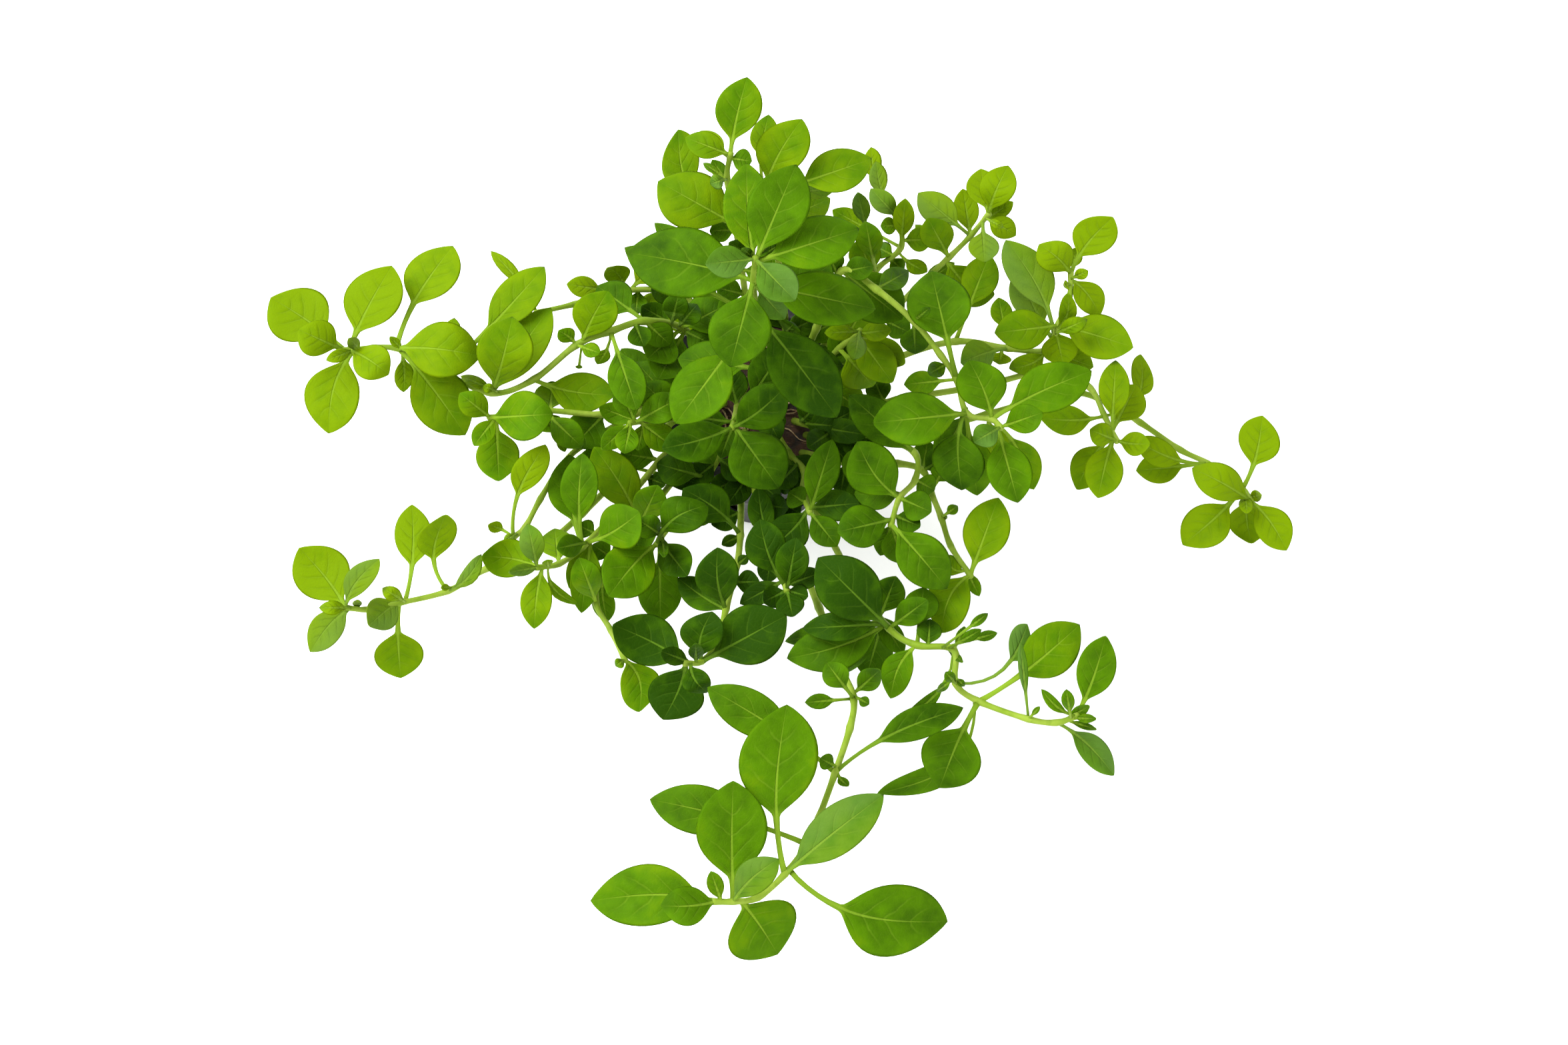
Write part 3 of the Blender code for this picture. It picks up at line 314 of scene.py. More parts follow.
def pot_mesh():
    """The wall with its slots, then the lip, then the slotted base, as one closed skin."""
    bm = bmesh.new()
    levels = [0.0, POT_FOOT] + [BAND_HEIGHT + rise for rise in BAND_LEVELS]
    slot_ends = {}
    for low, high in SLOT_TIERS:
        levels += [low, low + SLOT_CORNER, high - SLOT_CORNER, high]
        slot_ends[low] = 1
        slot_ends[high] = -1
    levels.sort()
    outer = []
    inner = []
    for index, level in enumerate(levels):
        way = slot_ends.get(level, 0)
        bend = (way * POT_TAPER, way)
        # The lowest inner rings lie on the base's top, a hair apart.
        inner_level = max(level, POT_FLOOR + index * RING_GAP)
        outer.append(pot_ring(bm, wall_radius(level), level, bend))
        inner.append(pot_ring(bm, wall_radius(max(level, POT_FLOOR)) - POT_WALL, inner_level, bend))
    open_rows = []
    for below, above in zip(levels, levels[1:]):
        in_slots = any(low <= below and above <= high for low, high in SLOT_TIERS)
        open_rows.append(slot_steps(WALL_SLOT_SPACING) if in_slots else set())
    for index, open_steps in enumerate(open_rows):
        skin(bm, outer[index], outer[index + 1], open_steps)
        skin(bm, inner[index], inner[index + 1], open_steps)
    close_holes(bm, outer, inner, open_rows)
    lip = [outer[-1]]
    lip_foot = POT_HEIGHT - POT_LIP_HEIGHT
    mouth = POT_RIM_RADIUS - POT_WALL
    for radius, height in (
        (wall_radius(lip_foot), lip_foot),
        (POT_LIP_RADIUS - LIP_CORNER, lip_foot + LIP_FOOT_RISE),
        (POT_LIP_RADIUS, lip_foot + LIP_CORNER_HEIGHT),
        (POT_LIP_RADIUS, POT_HEIGHT - LIP_CORNER_HEIGHT),
        (POT_LIP_RADIUS - LIP_CORNER, POT_HEIGHT),
        (mouth + MOUTH_CORNER, POT_HEIGHT),
        (mouth, POT_HEIGHT - MOUTH_CORNER),
    ):
        lip.append(pot_ring(bm, radius, height))
    lip.append(inner[-1])
    for ring, following in zip(lip, lip[1:]):
        skin(bm, ring, following)
    below = [outer[0]]
    above = [inner[0]]
    near, far = FLOOR_SLOT_REACH
    for radius, way in ((far, -1), (far - SLOT_CORNER, 0), (near + SLOT_CORNER, 0), (near, 1)):
        below.append(pot_ring(bm, radius, 0, (way, 0), FLOOR_SLOT_SPACING))
        above.append(pot_ring(bm, radius, POT_FLOOR, (way, 0), FLOOR_SLOT_SPACING))
    open_rows = [set()] + [slot_steps(FLOOR_SLOT_SPACING)] * 3
    for index, open_steps in enumerate(open_rows):
        skin(bm, below[index], below[index + 1], open_steps)
        skin(bm, above[index], above[index + 1], open_steps)
    close_holes(bm, below, above, open_rows)
    bm.faces.new(below[-1])
    bm.faces.new(above[-1])
    bmesh.ops.recalc_face_normals(bm, faces=bm.faces[:])
    return finished(bm, "nursery_pot")


pot_finish = Finish("moulded_black")
pot_grain = pot_finish.noise(2600.0, 2.0)
pot_flow = pot_finish.noise(90.0, 4.0, (1, 1, 0.25))
pot_wear = pot_finish.noise(420.0, 5.0).band(0.56, 0.74)
pot_colour = pot_finish.mix(pot_wear * 0.35, POT_BLACK, POT_DUST)
pot_finish.surface(pot_finish.node("ShaderNodeBsdfPrincipled", {}, {
    "Base Color": pot_colour,
    "Roughness": 0.42 + pot_flow * 0.16 + pot_wear * 0.2,
    "Specular IOR Level": 0.2,
    "Normal": pot_finish.bump(pot_grain + pot_flow * 2.0, 0.00006),
}))
pot = new_piece("nursery_pot", pot_mesh(), [pot_finish.material])
pot_rounding = pot.modifiers.new("Rounding", "BEVEL")
pot_rounding.width = POT_EDGE * MM
pot_rounding.segments = 2
pot_rounding.limit_method = "ANGLE"
pot_rounding.angle_limit = POT_EDGE_ANGLE
pot.data.shade_smooth()
pot.data.set_sharp_from_angle(angle=POT_SHARP_ANGLE)
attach(pot, "root")
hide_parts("pot")

# The root plug: a round block of brown mineral fibre and peat that the roots have bound. It fills
# the pot to just below the rim, and pale young roots wander over its top.
PLUG_TOP = 46.6
PLUG_SHOULDER = 0.9
PLUG_FOOT = 0.3
PLUG_GAP = 0.5
PLUG_TOP_GAP = 0.3
PLUG_ROUND = 64
PLUG_ROWS = 60
PLUG_TOP_RINGS = 16
PLUG_LUMP = 0.55
PLUG_TOP_LUMPS = 1.6
PLUG_BROWN = (0.060, 0.024, 0.010)
PLUG_DARK = (0.012, 0.007, 0.004)
PLUG_STRAW = (0.16, 0.085, 0.035)
PLUG_TOP_REACH = 21.0
ROOT_COUNT = 34
ROOT_POINTS = 12
ROOT_START_REACH = 18.0
ROOT_STRIDE = 1.3
ROOT_TURN = 0.42
ROOT_EDGE_TURN = 1.4
ROOT_SINK = 0.4
ROOT_RADIUS = 0.26
ROOT_TAPER = 0.6
ROOT_SIDES = 6
ROOT_SKIN = 1
ROOT_PALE = (0.50, 0.36, 0.20)
ROOT_TAN = (0.20, 0.10, 0.04)


def plug_point(radius, height, angle):
    """A point of the plug's skin, and how deep its lumps push it in; none goes out past the solid."""
    place = round_axis(radius, angle, height)
    coarse = noise.noise(place * 0.35)
    fine = noise.noise(place * 1.7)
    depth = PLUG_LUMP * (0.5 + 0.35 * coarse + 0.4 * fine)
    return place, max(0.0, depth)


def plug_radius(height):
    return wall_radius(height) - POT_WALL - PLUG_GAP - BAND_SWELL


def tube_ring(bm, centre, along, across, radius, sides):
    """A ring of a round tube that runs along one way; its first point lies across from the centre."""
    up = along.cross(across)
    ring = []
    for side in range(sides):
        angle = 2 * math.pi * side / sides
        around = across * math.cos(angle) + up * math.sin(angle)
        ring.append(bm.verts.new((centre + around * radius) * MM))
    return ring


def add_face(bm, corners, slot):
    face = bm.faces.new(corners)
    face.material_index = slot
    face.smooth = True


def close_tube(bm, rings, slot):
    """Faces over both ends of a tube and round it."""
    count = len(rings[0])
    add_face(bm, rings[0], slot)
    add_face(bm, list(reversed(rings[-1])), slot)
    for ring, following in zip(rings, rings[1:]):
        for side in range(count):
            beside = (side + 1) % count
            add_face(bm, (ring[beside], ring[side], following[side], following[beside]), slot)


def add_young_root(bm, number):
    """A fine root that wanders over the top of the plug; its middle lies a little proud of it."""
    start = 2.4 * number
    reach = ROOT_START_REACH * (0.25 + 0.75 * ((0.618 * number) % 1.0))
    point = round_axis(reach, start, PLUG_TOP)
    heading = start + 1.3 + math.sin(5.1 * number)
    path = []
    for step in range(ROOT_POINTS):
        rise = 0.1 + 0.9 * math.sin(math.pi * step / (ROOT_POINTS - 1)) * abs(math.sin(3.3 * number))
        path.append(Vector((point.x, point.y, PLUG_TOP - ROOT_SINK + rise)))
        heading += ROOT_TURN * math.sin(2.2 * number + 0.9 * step)
        onward = point + round_axis(1, heading) * ROOT_STRIDE
        if onward.xy.length > PLUG_TOP_REACH:
            heading += ROOT_EDGE_TURN
            onward = point + round_axis(1, heading) * ROOT_STRIDE * 0.5
        point = onward
    rings = []
    for index, point in enumerate(path):
        along = (path[min(index + 1, ROOT_POINTS - 1)] - path[max(index - 1, 0)]).normalized()
        across = along.cross(Vector((0, 0, 1))).normalized()
        radius = ROOT_RADIUS * (1 - ROOT_TAPER * index / ROOT_POINTS)
        rings.append(tube_ring(bm, point, along, across, radius, ROOT_SIDES))
    close_tube(bm, rings, ROOT_SKIN)


def plug_mesh():
    """The plug's lumpy side, then its top in narrowing rings, and the roots over it."""
    bm = bmesh.new()
    low = POT_FLOOR + PLUG_FOOT
    angles = [2 * math.pi * step / PLUG_ROUND for step in range(PLUG_ROUND)]
    rings = []
    for row in range(PLUG_ROWS + 1):
        height = low + (PLUG_TOP - PLUG_SHOULDER - low) * row / PLUG_ROWS
        ring = []
        for angle in angles:
            place, depth = plug_point(plug_radius(height), height, angle)
            ring.append(bm.verts.new((place - round_axis(1, angle) * depth) * MM))
        rings.append(ring)
    for row in range(1, PLUG_TOP_RINGS):
        radius = plug_radius(PLUG_TOP) * (1 - row / PLUG_TOP_RINGS) - PLUG_TOP_GAP
        ring = []
        for angle in angles:
            place, depth = plug_point(radius, PLUG_TOP, angle)
            ring.append(bm.verts.new((place - Vector((0, 0, depth * PLUG_TOP_LUMPS))) * MM))
        rings.append(ring)
    for ring, following in zip(rings, rings[1:]):
        skin(bm, ring, following)
    bm.faces.new(rings[0])
    bm.faces.new(rings[-1])
    for number in range(ROOT_COUNT):
        add_young_root(bm, number)
    bmesh.ops.recalc_face_normals(bm, faces=bm.faces[:])
    mesh = finished(bm, "fibre_plug")
    mesh.shade_smooth()
    return mesh


plug_finish = Finish("damp_fibre")
plug_clumps = plug_finish.noise(260.0, 6.0)
plug_strands = plug_finish.noise(900.0, 4.0, (1, 1, 0.18))
plug_straw = plug_finish.noise(1500.0, 3.0, (0.2, 1, 1)).band(0.58, 0.68)
plug_colour = plug_finish.mix(plug_clumps.band(0.35, 0.6), PLUG_DARK, PLUG_BROWN)
plug_colour = plug_finish.mix(plug_straw * 0.7, plug_colour, PLUG_STRAW)
plug_finish.surface(plug_finish.node("ShaderNodeBsdfPrincipled", {}, {
    "Base Color": plug_colour,
    "Roughness": 0.72 + plug_strands * 0.25,
    "Normal": plug_finish.bump(plug_strands + plug_clumps * 1.5 + plug_straw * 0.5, 0.0005),
}))
root_finish = Finish("young_root")
root_colour = root_finish.mix(root_finish.noise(600.0, 3.0).band(0.35, 0.65), ROOT_TAN, ROOT_PALE)
root_finish.surface(root_finish.node("ShaderNodeBsdfPrincipled", {}, {
    "Base Color": root_colour,
    "Roughness": 0.55,
    "Normal": root_finish.bump(root_finish.noise(1800.0, 2.0), 0.0001),
}))
plug = new_piece("fibre_plug", plug_mesh(), [plug_finish.material, root_finish.material])
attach(plug, "root")
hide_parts("root_plug")

# Shoots: each has a route of (x, y, height) from the plug outwards, and the leaves on it, each given
# by its place in the route, its tip (x, y, height), its breadth and the share of its length that is
# stalk. Plan places are read at the level of the rim, along lines of sight from the eye.
SHOOTS = {
    "left_upper": {
        "route": [(-12, 8, 47), (-21, 19, 64), (-31, 21, 74), (-40, 18, 75), (-49, 14, 73), (-60, 4, 71),
                  (-71, 0, 69), (-84, 6, 70), (-97, 13, 72), (-111, 12.5, 77)],
        "leaves": [
            (9, -131.7, 28, 78, 17, 0.26, -0.8), (9, -123.5, 18.5, 86, 11, 0.15),
            (9, -99.7, 37.5, 84, 15.5, 0.2, 0.7), (9, -98.5, 5.3, 82, 10.5, 0.08, 0.6),
            (9, -113.3, -11.6, 74, 15, 0.14, -2.4), (9, -115.5, 9.5, 84, 4, 0.1),
            (9, -110, 16, 84, 3.5, 0.1), (8, -83.5, 43.5, 78, 14.2, 0.4, 1.9),
            (8, -74.3, 10.8, 74, 16.5, 0.08, 0.9), (8, -77.3, -12, 64, 15.5, 0.2, 0.6),
            (8, -94.3, 0.2, 66, 5.4, 0.2, 0.5), (8, -99, 16.5, 75, 2.5, 0.3),
            (7, -58.4, 37.2, 80, 12, 0.42, -0.6), (7, -82, 22, 72, 5, 0.5),
            (6, -66.5, 22.3, 84, 15.3, 0.12, -0.5), (6, -56.2, 25, 76, 12.5, 0.06, 0.6),
            (6, -79.5, 5, 76, 3.5, 0.2), (6, -73.5, 2, 75, 3, 0.2), (5, -38.5, -0.6, 66, 12, 0.2, -1.3),
            (4, -54, 18.3, 78, 5, 0.2, -0.4), (4, -42.5, 11.5, 80, 4.6, 0.2),
            (4, -41, 30, 86, 12.3, 0.1, 0.5), (3, -43.3, 8.3, 68, 4, 0.5, 0.9),
            (3, -32.5, -5, 80, 10, 0.25), (2, -44, 31.5, 66, 11, 0.3), (1, -9, 26, 72, 12, 0.1),
            (1, -30, 10, 68, 12, 0.25), (4, -48.2, 7, 66, 2, 0.85), (1, -27, 4, 62, 12, 0.15),
            (1, -13.5, 14.5, 66, 8, 0.1), (2, -24, 14, 66, 8, 0.15),
        ],
    },
    "left_back": {
        "route": [(-8, 16, 47), (-22, 29, 56), (-37, 30, 60), (-50, 26, 62), (-60, 23.5, 62)],
        "leaves": [
            (4, -73.2, 42, 64, 4, 0.4, -1.2), (2, -52.3, 32, 74, 6.5, 0.4, 0.3),
            (2, -41.5, 37, 68, 7, 0.2, -1.5), (2, -26, 41, 58, 9, 0.2), (1, -32, 22, 54, 10, 0.2),
            (1, -12, 34, 62, 10, 0.2), (1, -21, 17, 60, 9, 0.1),
        ],
    },
    "crown": {
        "route": [(0, -7, 47), (0, 7, 80), (-1, 23, 110), (-2, 33, 128), (-1.5, 39.5, 139)],
        "leaves": [
            (4, -15, 38, 145, 10, 0.1), (4, 9.3, 27, 144, 11, 0.1), (4, 9.7, 68.5, 144, 17, 0.12),
            (4, 26.8, 48.8, 136, 16, 0.15), (4, -4, 69, 132, 13.5, 0.12, 0.8), (3, -8, 7.5, 124, 17, 0.15),
            (3, -36.5, 41.5, 126, 21.5, 0.1, -0.9), (3, 6.5, 21.5, 120, 8, 0.2),
            (3, 31, 24.5, 122, 16, 0.15), (2, 20.3, -7, 100, 17.5, 0.15, 0.5),
            (2, -22.3, -8.8, 104, 15.5, 0.36), (2, -37, 43, 114, 12, 0.3), (1, 22, 8, 74, 13, 0.2),
            (1, -22, 10, 76, 13, 0.2), (2, 19, 38, 110, 14, 0.25),
        ],
    },
    "crown_back": {
        "route": [(-2, 9, 47), (-4, 28, 80), (-7, 50, 104), (-9.3, 64, 116), (-8.5, 71.5, 122)],
        "leaves": [
            (4, -4, 96.2, 128, 13, 0.18, 0.5), (4, -21, 77, 124, 8.5, 0.1), (4, -17, 79, 118, 6, 0.2),
            (3, -16, 69, 114, 2.5, 0.3), (3, -14, 62.5, 116, 5, 0.2), (2, -23, 79.5, 104, 11.5, 0.45, 6),
            (2, -28.3, 63.3, 112, 18, 0.1), (1, -29, 50.5, 84, 8, 0.3), (1, 10, 44, 84, 11, 0.2),
            (3, -13.5, 70, 110, 4.5, 0.1),
        ],
    },
    "back_right": {
        "route": [(7, 12, 47), (6, 30, 78), (3, 50, 102), (1, 60, 112)],
        "leaves": [
            (3, 11.3, 82.8, 124, 14.2, 0.15, 1.3), (3, 2, 84.2, 110, 7.5, 0.45, 1.5),
            (3, 30.5, 70.3, 114, 13.5, 0.35), (3, 20.5, 61, 106, 5.5, 0.4), (2, 19, 58, 96, 10, 0.2),
            (1, 20, 42, 74, 11, 0.2),
        ],
    },
    "back_mid": {
        "route": [(13, 8, 47), (23, 23, 62), (31, 36, 72), (38, 43, 78), (37.5, 52, 84)],
        "leaves": [
            (3, 39.5, 58, 90, 6, 0.2), (4, 30, 61, 88, 6.5, 0.1), (4, 31.6, 69.5, 86, 5.4, 0.45, 1.6),
            (4, 30.3, 74, 82, 5.5, 0.6, 2.2), (2, 28.5, 51, 90, 7.5, 0.25), (3, 19.5, 54.5, 80, 6.5, 0.5),
            (2, 26.5, 60, 84, 5, 0.6), (3, 45, 35.5, 74, 5, 0.35, -0.8), (1, 32, 25, 60, 9, 0.2),
            (1, 12, 16, 60, 9, 0.15), (2, 26.5, 45.5, 80, 9, 0.1),
        ],
    },
    "back_far": {
        "route": [(17, 5, 47), (30, 18, 58), (42, 31, 68), (51, 40, 76), (57, 46.5, 82), (62, 53, 88)],
        "leaves": [
            (5, 68, 68.2, 95, 10, 0.1, 0.5), (5, 60.4, 67.2, 86, 9.8, 0.15),
            (5, 69.3, 46.5, 86, 7, 0.12, 0.3), (5, 66, 49, 92, 2.8, 0.2), (5, 60.5, 38.5, 90, 8.5, 0.25),
            (4, 55.3, 61, 80, 7, 0.12), (4, 43, 59.7, 86, 9.6, 0.25), (3, 45.5, 52, 90, 9.5, 0.15),
            (3, 42, 50, 74, 5, 0.2), (2, 63, 29, 70, 9, 0.45), (2, 52.5, 38.5, 72, 5, 0.2),
            (3, 59, 26, 70, 11, 0.1), (5, 69, 57, 88, 5, 0.1),
        ],
    },
    "right_mid": {
        "route": [(9, 3, 47), (15, 19, 76), (22, 36, 97), (31, 30.5, 102), (41, 21, 102), (48, 11, 100),
                  (52, 4, 98), (54.5, -5.8, 98), (61, -7.5, 100), (63.2, -9.7, 102)],
        "leaves": [
            (2, 38, 21.5, 94, 15, 0.1), (4, 45.5, 25, 106, 3, 0.2), (4, 41.3, 11.3, 92, 8, 0.2),
            (6, 46, 36, 106, 17.5, 0.36), (6, 38, 2.5, 90, 7, 0.3), (7, 29.5, -8.5, 102, 15.5, 0.1),
            (7, 46.5, -19.5, 86, 8.5, 0.08), (7, 52.5, -27.5, 94, 14, 0.3, -1.5),
            (7, 56.5, -29, 84, 11, 0.3), (8, 55.5, 9.5, 108, 13.4, 0.12, -0.8),
            (8, 88, 6.5, 106, 14, 0.2, 1.0), (9, 74.5, -5.5, 112, 8.5, 0.12), (9, 56, -14, 104, 7, 0.1),
            (9, 67, -31, 100, 12, 0.2), (9, 71.3, -27.3, 90, 9, 0.25, 1.6), (1, 22, 28, 72, 9, 0.1),
            (3, 40, 36, 84, 7, 0.1),
        ],
    },
    "right_upper": {
        "route": [(19, -1, 47), (36, 10, 60), (52, 15, 70), (66, 13, 76), (76.3, 12.5, 80),
                  (79.5, 19.7, 85), (83, 28, 87), (83.7, 35, 89)],
        "leaves": [
            (5, 99.4, 13.2, 90, 13.3, 0.1, 0.4), (5, 62.5, 17.5, 92, 12, 0.08), (5, 80.5, 8, 84, 10, 0.1),
            (5, 82.8, 29.5, 96, 5, 0.1, -1.6), (5, 87.5, 21.5, 92, 5, 0.15),
            (5, 66.5, 45.3, 94, 12, 0.24, -2.0), (5, 69.5, 37, 86, 10.5, 0.2, 0.8),
            (7, 75.5, 44, 94, 10.5, 0.08, -0.8), (7, 96, 52.3, 96, 11.5, 0.27, 1.3),
            (7, 91, 22.6, 86, 8.4, 0.08, 1.1), (7, 88.5, 36, 94, 3.5, 0.2), (7, 81.8, 31.5, 93, 3, 0.1),
            (3, 53.2, 8.7, 82, 9.6, 0.25, -0.6), (3, 64, 28, 78, 6, 0.4), (3, 63.5, 8.5, 74, 6, 0.3),
            (2, 62, 41, 80, 10, 0.42), (4, 88.5, 7.5, 76, 9, 0.1), (4, 66, 7, 74, 6.5, 0.12, 1.5),
            (7, 85.5, 43, 88, 4.5, 0.45),
        ],
    },
    "right_cluster": {
        "route": [(17, -8, 47), (36, -2, 58), (58, 2, 68), (79, 7, 75), (87.3, 1.5, 79), (90.7, -6.5, 82),
                  (93.5, -13.5, 86)],
        "leaves": [
            (6, 86.6, -10.4, 92, 7, 0.08), (6, 102.3, -14.4, 93, 7, 0.1, -0.5),
            (6, 87.8, -29.7, 88, 10.2, 0.15, -0.3), (6, 82.4, -27.3, 80, 9, 0.22, -1.4),
            (6, 94.5, 9.6, 88, 8.4, 0.2), (6, 99.6, 2.5, 82, 10.4, 0.2),
            (5, 101.3, 11.3, 76, 6.8, 0.45, -5), (5, 73.8, -7.2, 88, 8.8, 0.2, 0.9),
            (3, 68.5, -9, 64, 9, 0.2), (1, 40, -9, 56, 6, 0.1),
        ],
    },
    "right_far": {
        "route": [(12, -12, 47), (34, -13, 54), (60, -6, 60), (80, 0, 63), (90.5, -2, 65), (100, -8.4, 65),
                  (110, -16.1, 65), (117, -20, 66), (125.5, -27, 69), (127.5, -30.5, 72)],
        "leaves": [
            (9, 112.8, -21.2, 78, 10.4, 0.08, -0.5), (9, 135.7, -44.1, 72, 9.9, 0.1, 1.0),
            (9, 126.8, -42.2, 66, 10, 0.1, -0.8), (9, 130.5, -28.8, 79, 3.4, 0.1),
            (9, 126.2, -34, 79, 4, 0.1), (8, 132.3, -6.4, 78, 11.2, 0.33, -1.2),
            (8, 109, -42.6, 66, 11.6, 0.26, 0.7), (7, 98.1, -22, 60, 8.6, 0.35),
            (7, 98.3, -13.3, 72, 8, 0.33, 1.7), (2, 61, -19, 56, 10, 0.2),
        ],
    },
    "right_low": {
        "route": [(11, -17, 47), (24, -20, 58), (36, -20, 68), (42.5, -22, 74), (44.5, -28, 77),
                  (47, -35, 79), (49.2, -42.7, 80), (54, -50.8, 82)],
        "leaves": [
            (7, 62, -29.5, 88, 12, 0.15), (7, 46.3, -66.3, 84, 11.5, 0.05, -2.2),
            (5, 51.4, -31.8, 82, 3, 0.35), (5, 48.5, -34.8, 83, 1.6, 0.2), (1, 30, -33, 62, 11, 0.2),
            (3, 50, -17, 78, 8, 0.1), (3, 44, -13.5, 72, 7, 0.1), (7, 48.3, -45.3, 78, 5, 0.1, 2.0),
            (4, 48.5, -20.5, 76, 6, 0.4), (7, 56.2, -56.5, 80, 3.5, 0.1),
        ],
    },
    "front_right": {
        "route": [(9, -8, 47), (20, -11, 64), (31, -12.5, 76), (40.5, -17, 82), (40.5, -24.5, 84),
                  (36.3, -29.6, 87), (34, -36.9, 90)],
        "leaves": [
            (3, 23.5, -0.5, 86, 11.5, 0.08), (1, 33, -5, 70, 12, 0.25), (2, 24, -26, 72, 11, 0.2),
            (5, 25.5, -13.8, 94, 14, 0.08, 1.6), (5, 44.5, -33.5, 94, 9, 0.1),
            (6, 48, -54.5, 90, 13.2, 0.12, 0.3), (6, 36.8, -47.8, 84, 8.5, 0.1), (6, 20, -39, 96, 12, 0.1),
            (6, 31, -45.5, 84, 6, 0.2), (1, 31, -16, 66, 8, 0.1), (5, 24.5, -28.5, 80, 9, 0.1),
            (4, 45.5, -27.5, 80, 7, 0.1),
        ],
    },
    "right_front": {
        "route": [(5, -16, 47), (15, -34, 60), (24, -52, 74), (33, -65, 85), (40, -69.5, 89),
                  (49.3, -70.7, 91), (49.5, -79.5, 93), (55.2, -84.2, 95), (67.5, -88.8, 97),
                  (74.5, -89.7, 98), (79.5, -88, 100)],
        "leaves": [
            (10, 88, -67, 104, 9.8, 0.2, -0.7), (9, 88.2, -103.2, 96, 7.2, 0.22, 1.3),
            (10, 71, -81, 104, 3, 0.2, 1.2), (10, 77.3, -81, 108, 3.4, 0.2),
            (10, 84.5, -88.7, 106, 2.5, 0.2), (10, 84.5, -91.5, 102, 2, 0.2),
            (8, 66.2, -68.5, 106, 2.5, 0.3), (8, 70.5, -85.5, 101, 1.5, 0.3),
            (7, 81.5, -64, 102, 13, 0.38, -1.1), (7, 44.8, -106.4, 92, 15.5, 0.32, -0.6),
            (7, 29.3, -107.8, 84, 7, 0.35, 8.0), (6, 68.2, -63.9, 98, 7, 0.6, -5.0),
            (6, 47, -76.5, 99, 3, 0.1), (6, 44.8, -81.7, 98, 2.2, 0.3), (6, 51.8, -80.3, 98, 2, 0.2),
            (5, 36.2, -89, 90, 3.4, 0.42, 3.0), (5, 52.3, -64.5, 97, 2.4, 0.2), (5, 51.5, -74, 94, 2, 0.15),
            (5, 56.5, -65.3, 98, 3, 0.35), (5, 60.5, -66.2, 97, 2.8, 0.6), (5, 58.3, -61, 100, 2.5, 0.6),
            (4, 33, -83.5, 84, 8, 0.1, -1.7), (3, 43, -57.3, 96, 7.5, 0.15), (3, 15, -46, 94, 16, 0.12),
            (3, 11, -65, 90, 8, 0.12), (3, 7, -73, 88, 12.5, 0.1, 1.5), (3, 6.5, -68.5, 78, 6, 0.3),
            (3, 27, -78, 76, 10, 0.15), (3, 35, -51, 90, 8.5, 0.1), (3, 17.5, -77.5, 80, 9, 0.1),
            (3, 36.5, -72, 82, 6, 0.1), (4, 42, -54, 86, 9, 0.38), (10, 83, -85.3, 104, 3, 0.15),
        ],
    },
    "front": {
        "route": [(1, -18, 47), (8, -40, 62), (15.2, -59.5, 70), (21, -76, 84), (23.8, -83.5, 93),
                  (22.8, -91, 98), (19, -102.5, 102), (14.8, -114, 106), (12, -120.5, 108),
                  (6.5, -127.8, 110), (0, -133.5, 112), (-6, -134.5, 113), (-10.5, -134.5, 114)],
        "leaves": [
            (12, -40.8, -134.3, 110, 15.3, 0.1, -1.6), (12, -23.7, -135.5, 118, 9.8, 0.03, 0.6),
            (12, -11.6, -127, 120, 4.2, 0.1), (11, -6.3, -104.5, 120, 17.7, 0.18, 0.4),
            (11, 5, -124, 124, 8.5, 0.06, 1), (11, 4.8, -147.3, 104, 18.8, 0.1, 0.5),
            (9, 7, -85, 120, 19.8, 0.33, 2.4), (9, 31, -108, 114, 12, 0.1, 0.4),
            (9, 46, -139.4, 102, 18.5, 0.36, -5.2), (8, -26.9, -109.2, 110, 12.6, 0.38, -1.2),
            (6, -13, -80.5, 106, 11.5, 0.35, -1), (6, 51.3, -85.8, 102, 8.6, 0.36, 2.2),
            (6, 15.2, -98.8, 106, 4.5, 0.2), (6, 22.3, -106, 104, 2.6, 0.4, -0.8),
            (4, 11.5, -84.5, 97, 4.2, 0.4), (4, 17, -74, 100, 7, 0.3), (4, 30.5, -76, 101, 6, 0.2),
            (4, 27.7, -85, 98, 3, 0.4),
        ],
    },
    "front_mid": {
        "route": [(-4, -11, 47), (-1, -28, 60), (3, -43, 70), (7, -54.8, 78)],
        "leaves": [
            (3, 9.5, -40.5, 88, 8.8, 0.1), (3, 8.5, -62, 82, 7.5, 0.1), (3, 0, -35.5, 84, 11, 0.2, 1.2),
            (3, 16, -50, 82, 6, 0.1), (2, 3.5, -36.5, 70, 8, 0.1), (2, 2, -53, 66, 6, 0.2),
            (3, -5, -58.5, 72, 6, 0.1), (2, -0.5, -26.5, 72, 7, 0.1, 0.6),
        ],
    },
    "front_left": {
        "route": [(-4.5, -18, 47), (-4.8, -27, 54), (-5, -40, 64), (-5.8, -48, 70), (-8.5, -60, 76),
                  (-10.8, -69, 80), (-14.5, -73.8, 83), (-18.5, -74.3, 86)],
        "leaves": [
            (2, -20, -27, 76, 11.5, 0.25, -1.4), (2, -9.8, -42.5, 69, 3.5, 0.1), (3, -3, -45.5, 75, 3, 0.1),
            (4, -10.8, -43.2, 88, 11.4, 0.1, 1.2), (6, 7, -61.5, 90, 16, 0.15),
            (6, -12, -60.5, 90, 11, 0.1, 1.6), (7, -37.3, -64, 90, 13.6, 0.08, -0.8),
            (7, -24, -89, 80, 14.4, 0.08, 0.8), (7, -13, -82, 90, 7, 0.1, -1.2), (7, -25, -71, 94, 5, 0.1),
            (7, -16, -69, 94, 4, 0.1), (4, -21, -51.5, 70, 8, 0.05, 0.5),
        ],
    },
    "left_front": {
        "route": [(-8.5, -14, 47), (-14, -24, 56), (-21, -34, 64), (-26.5, -42.3, 71)],
        "leaves": [
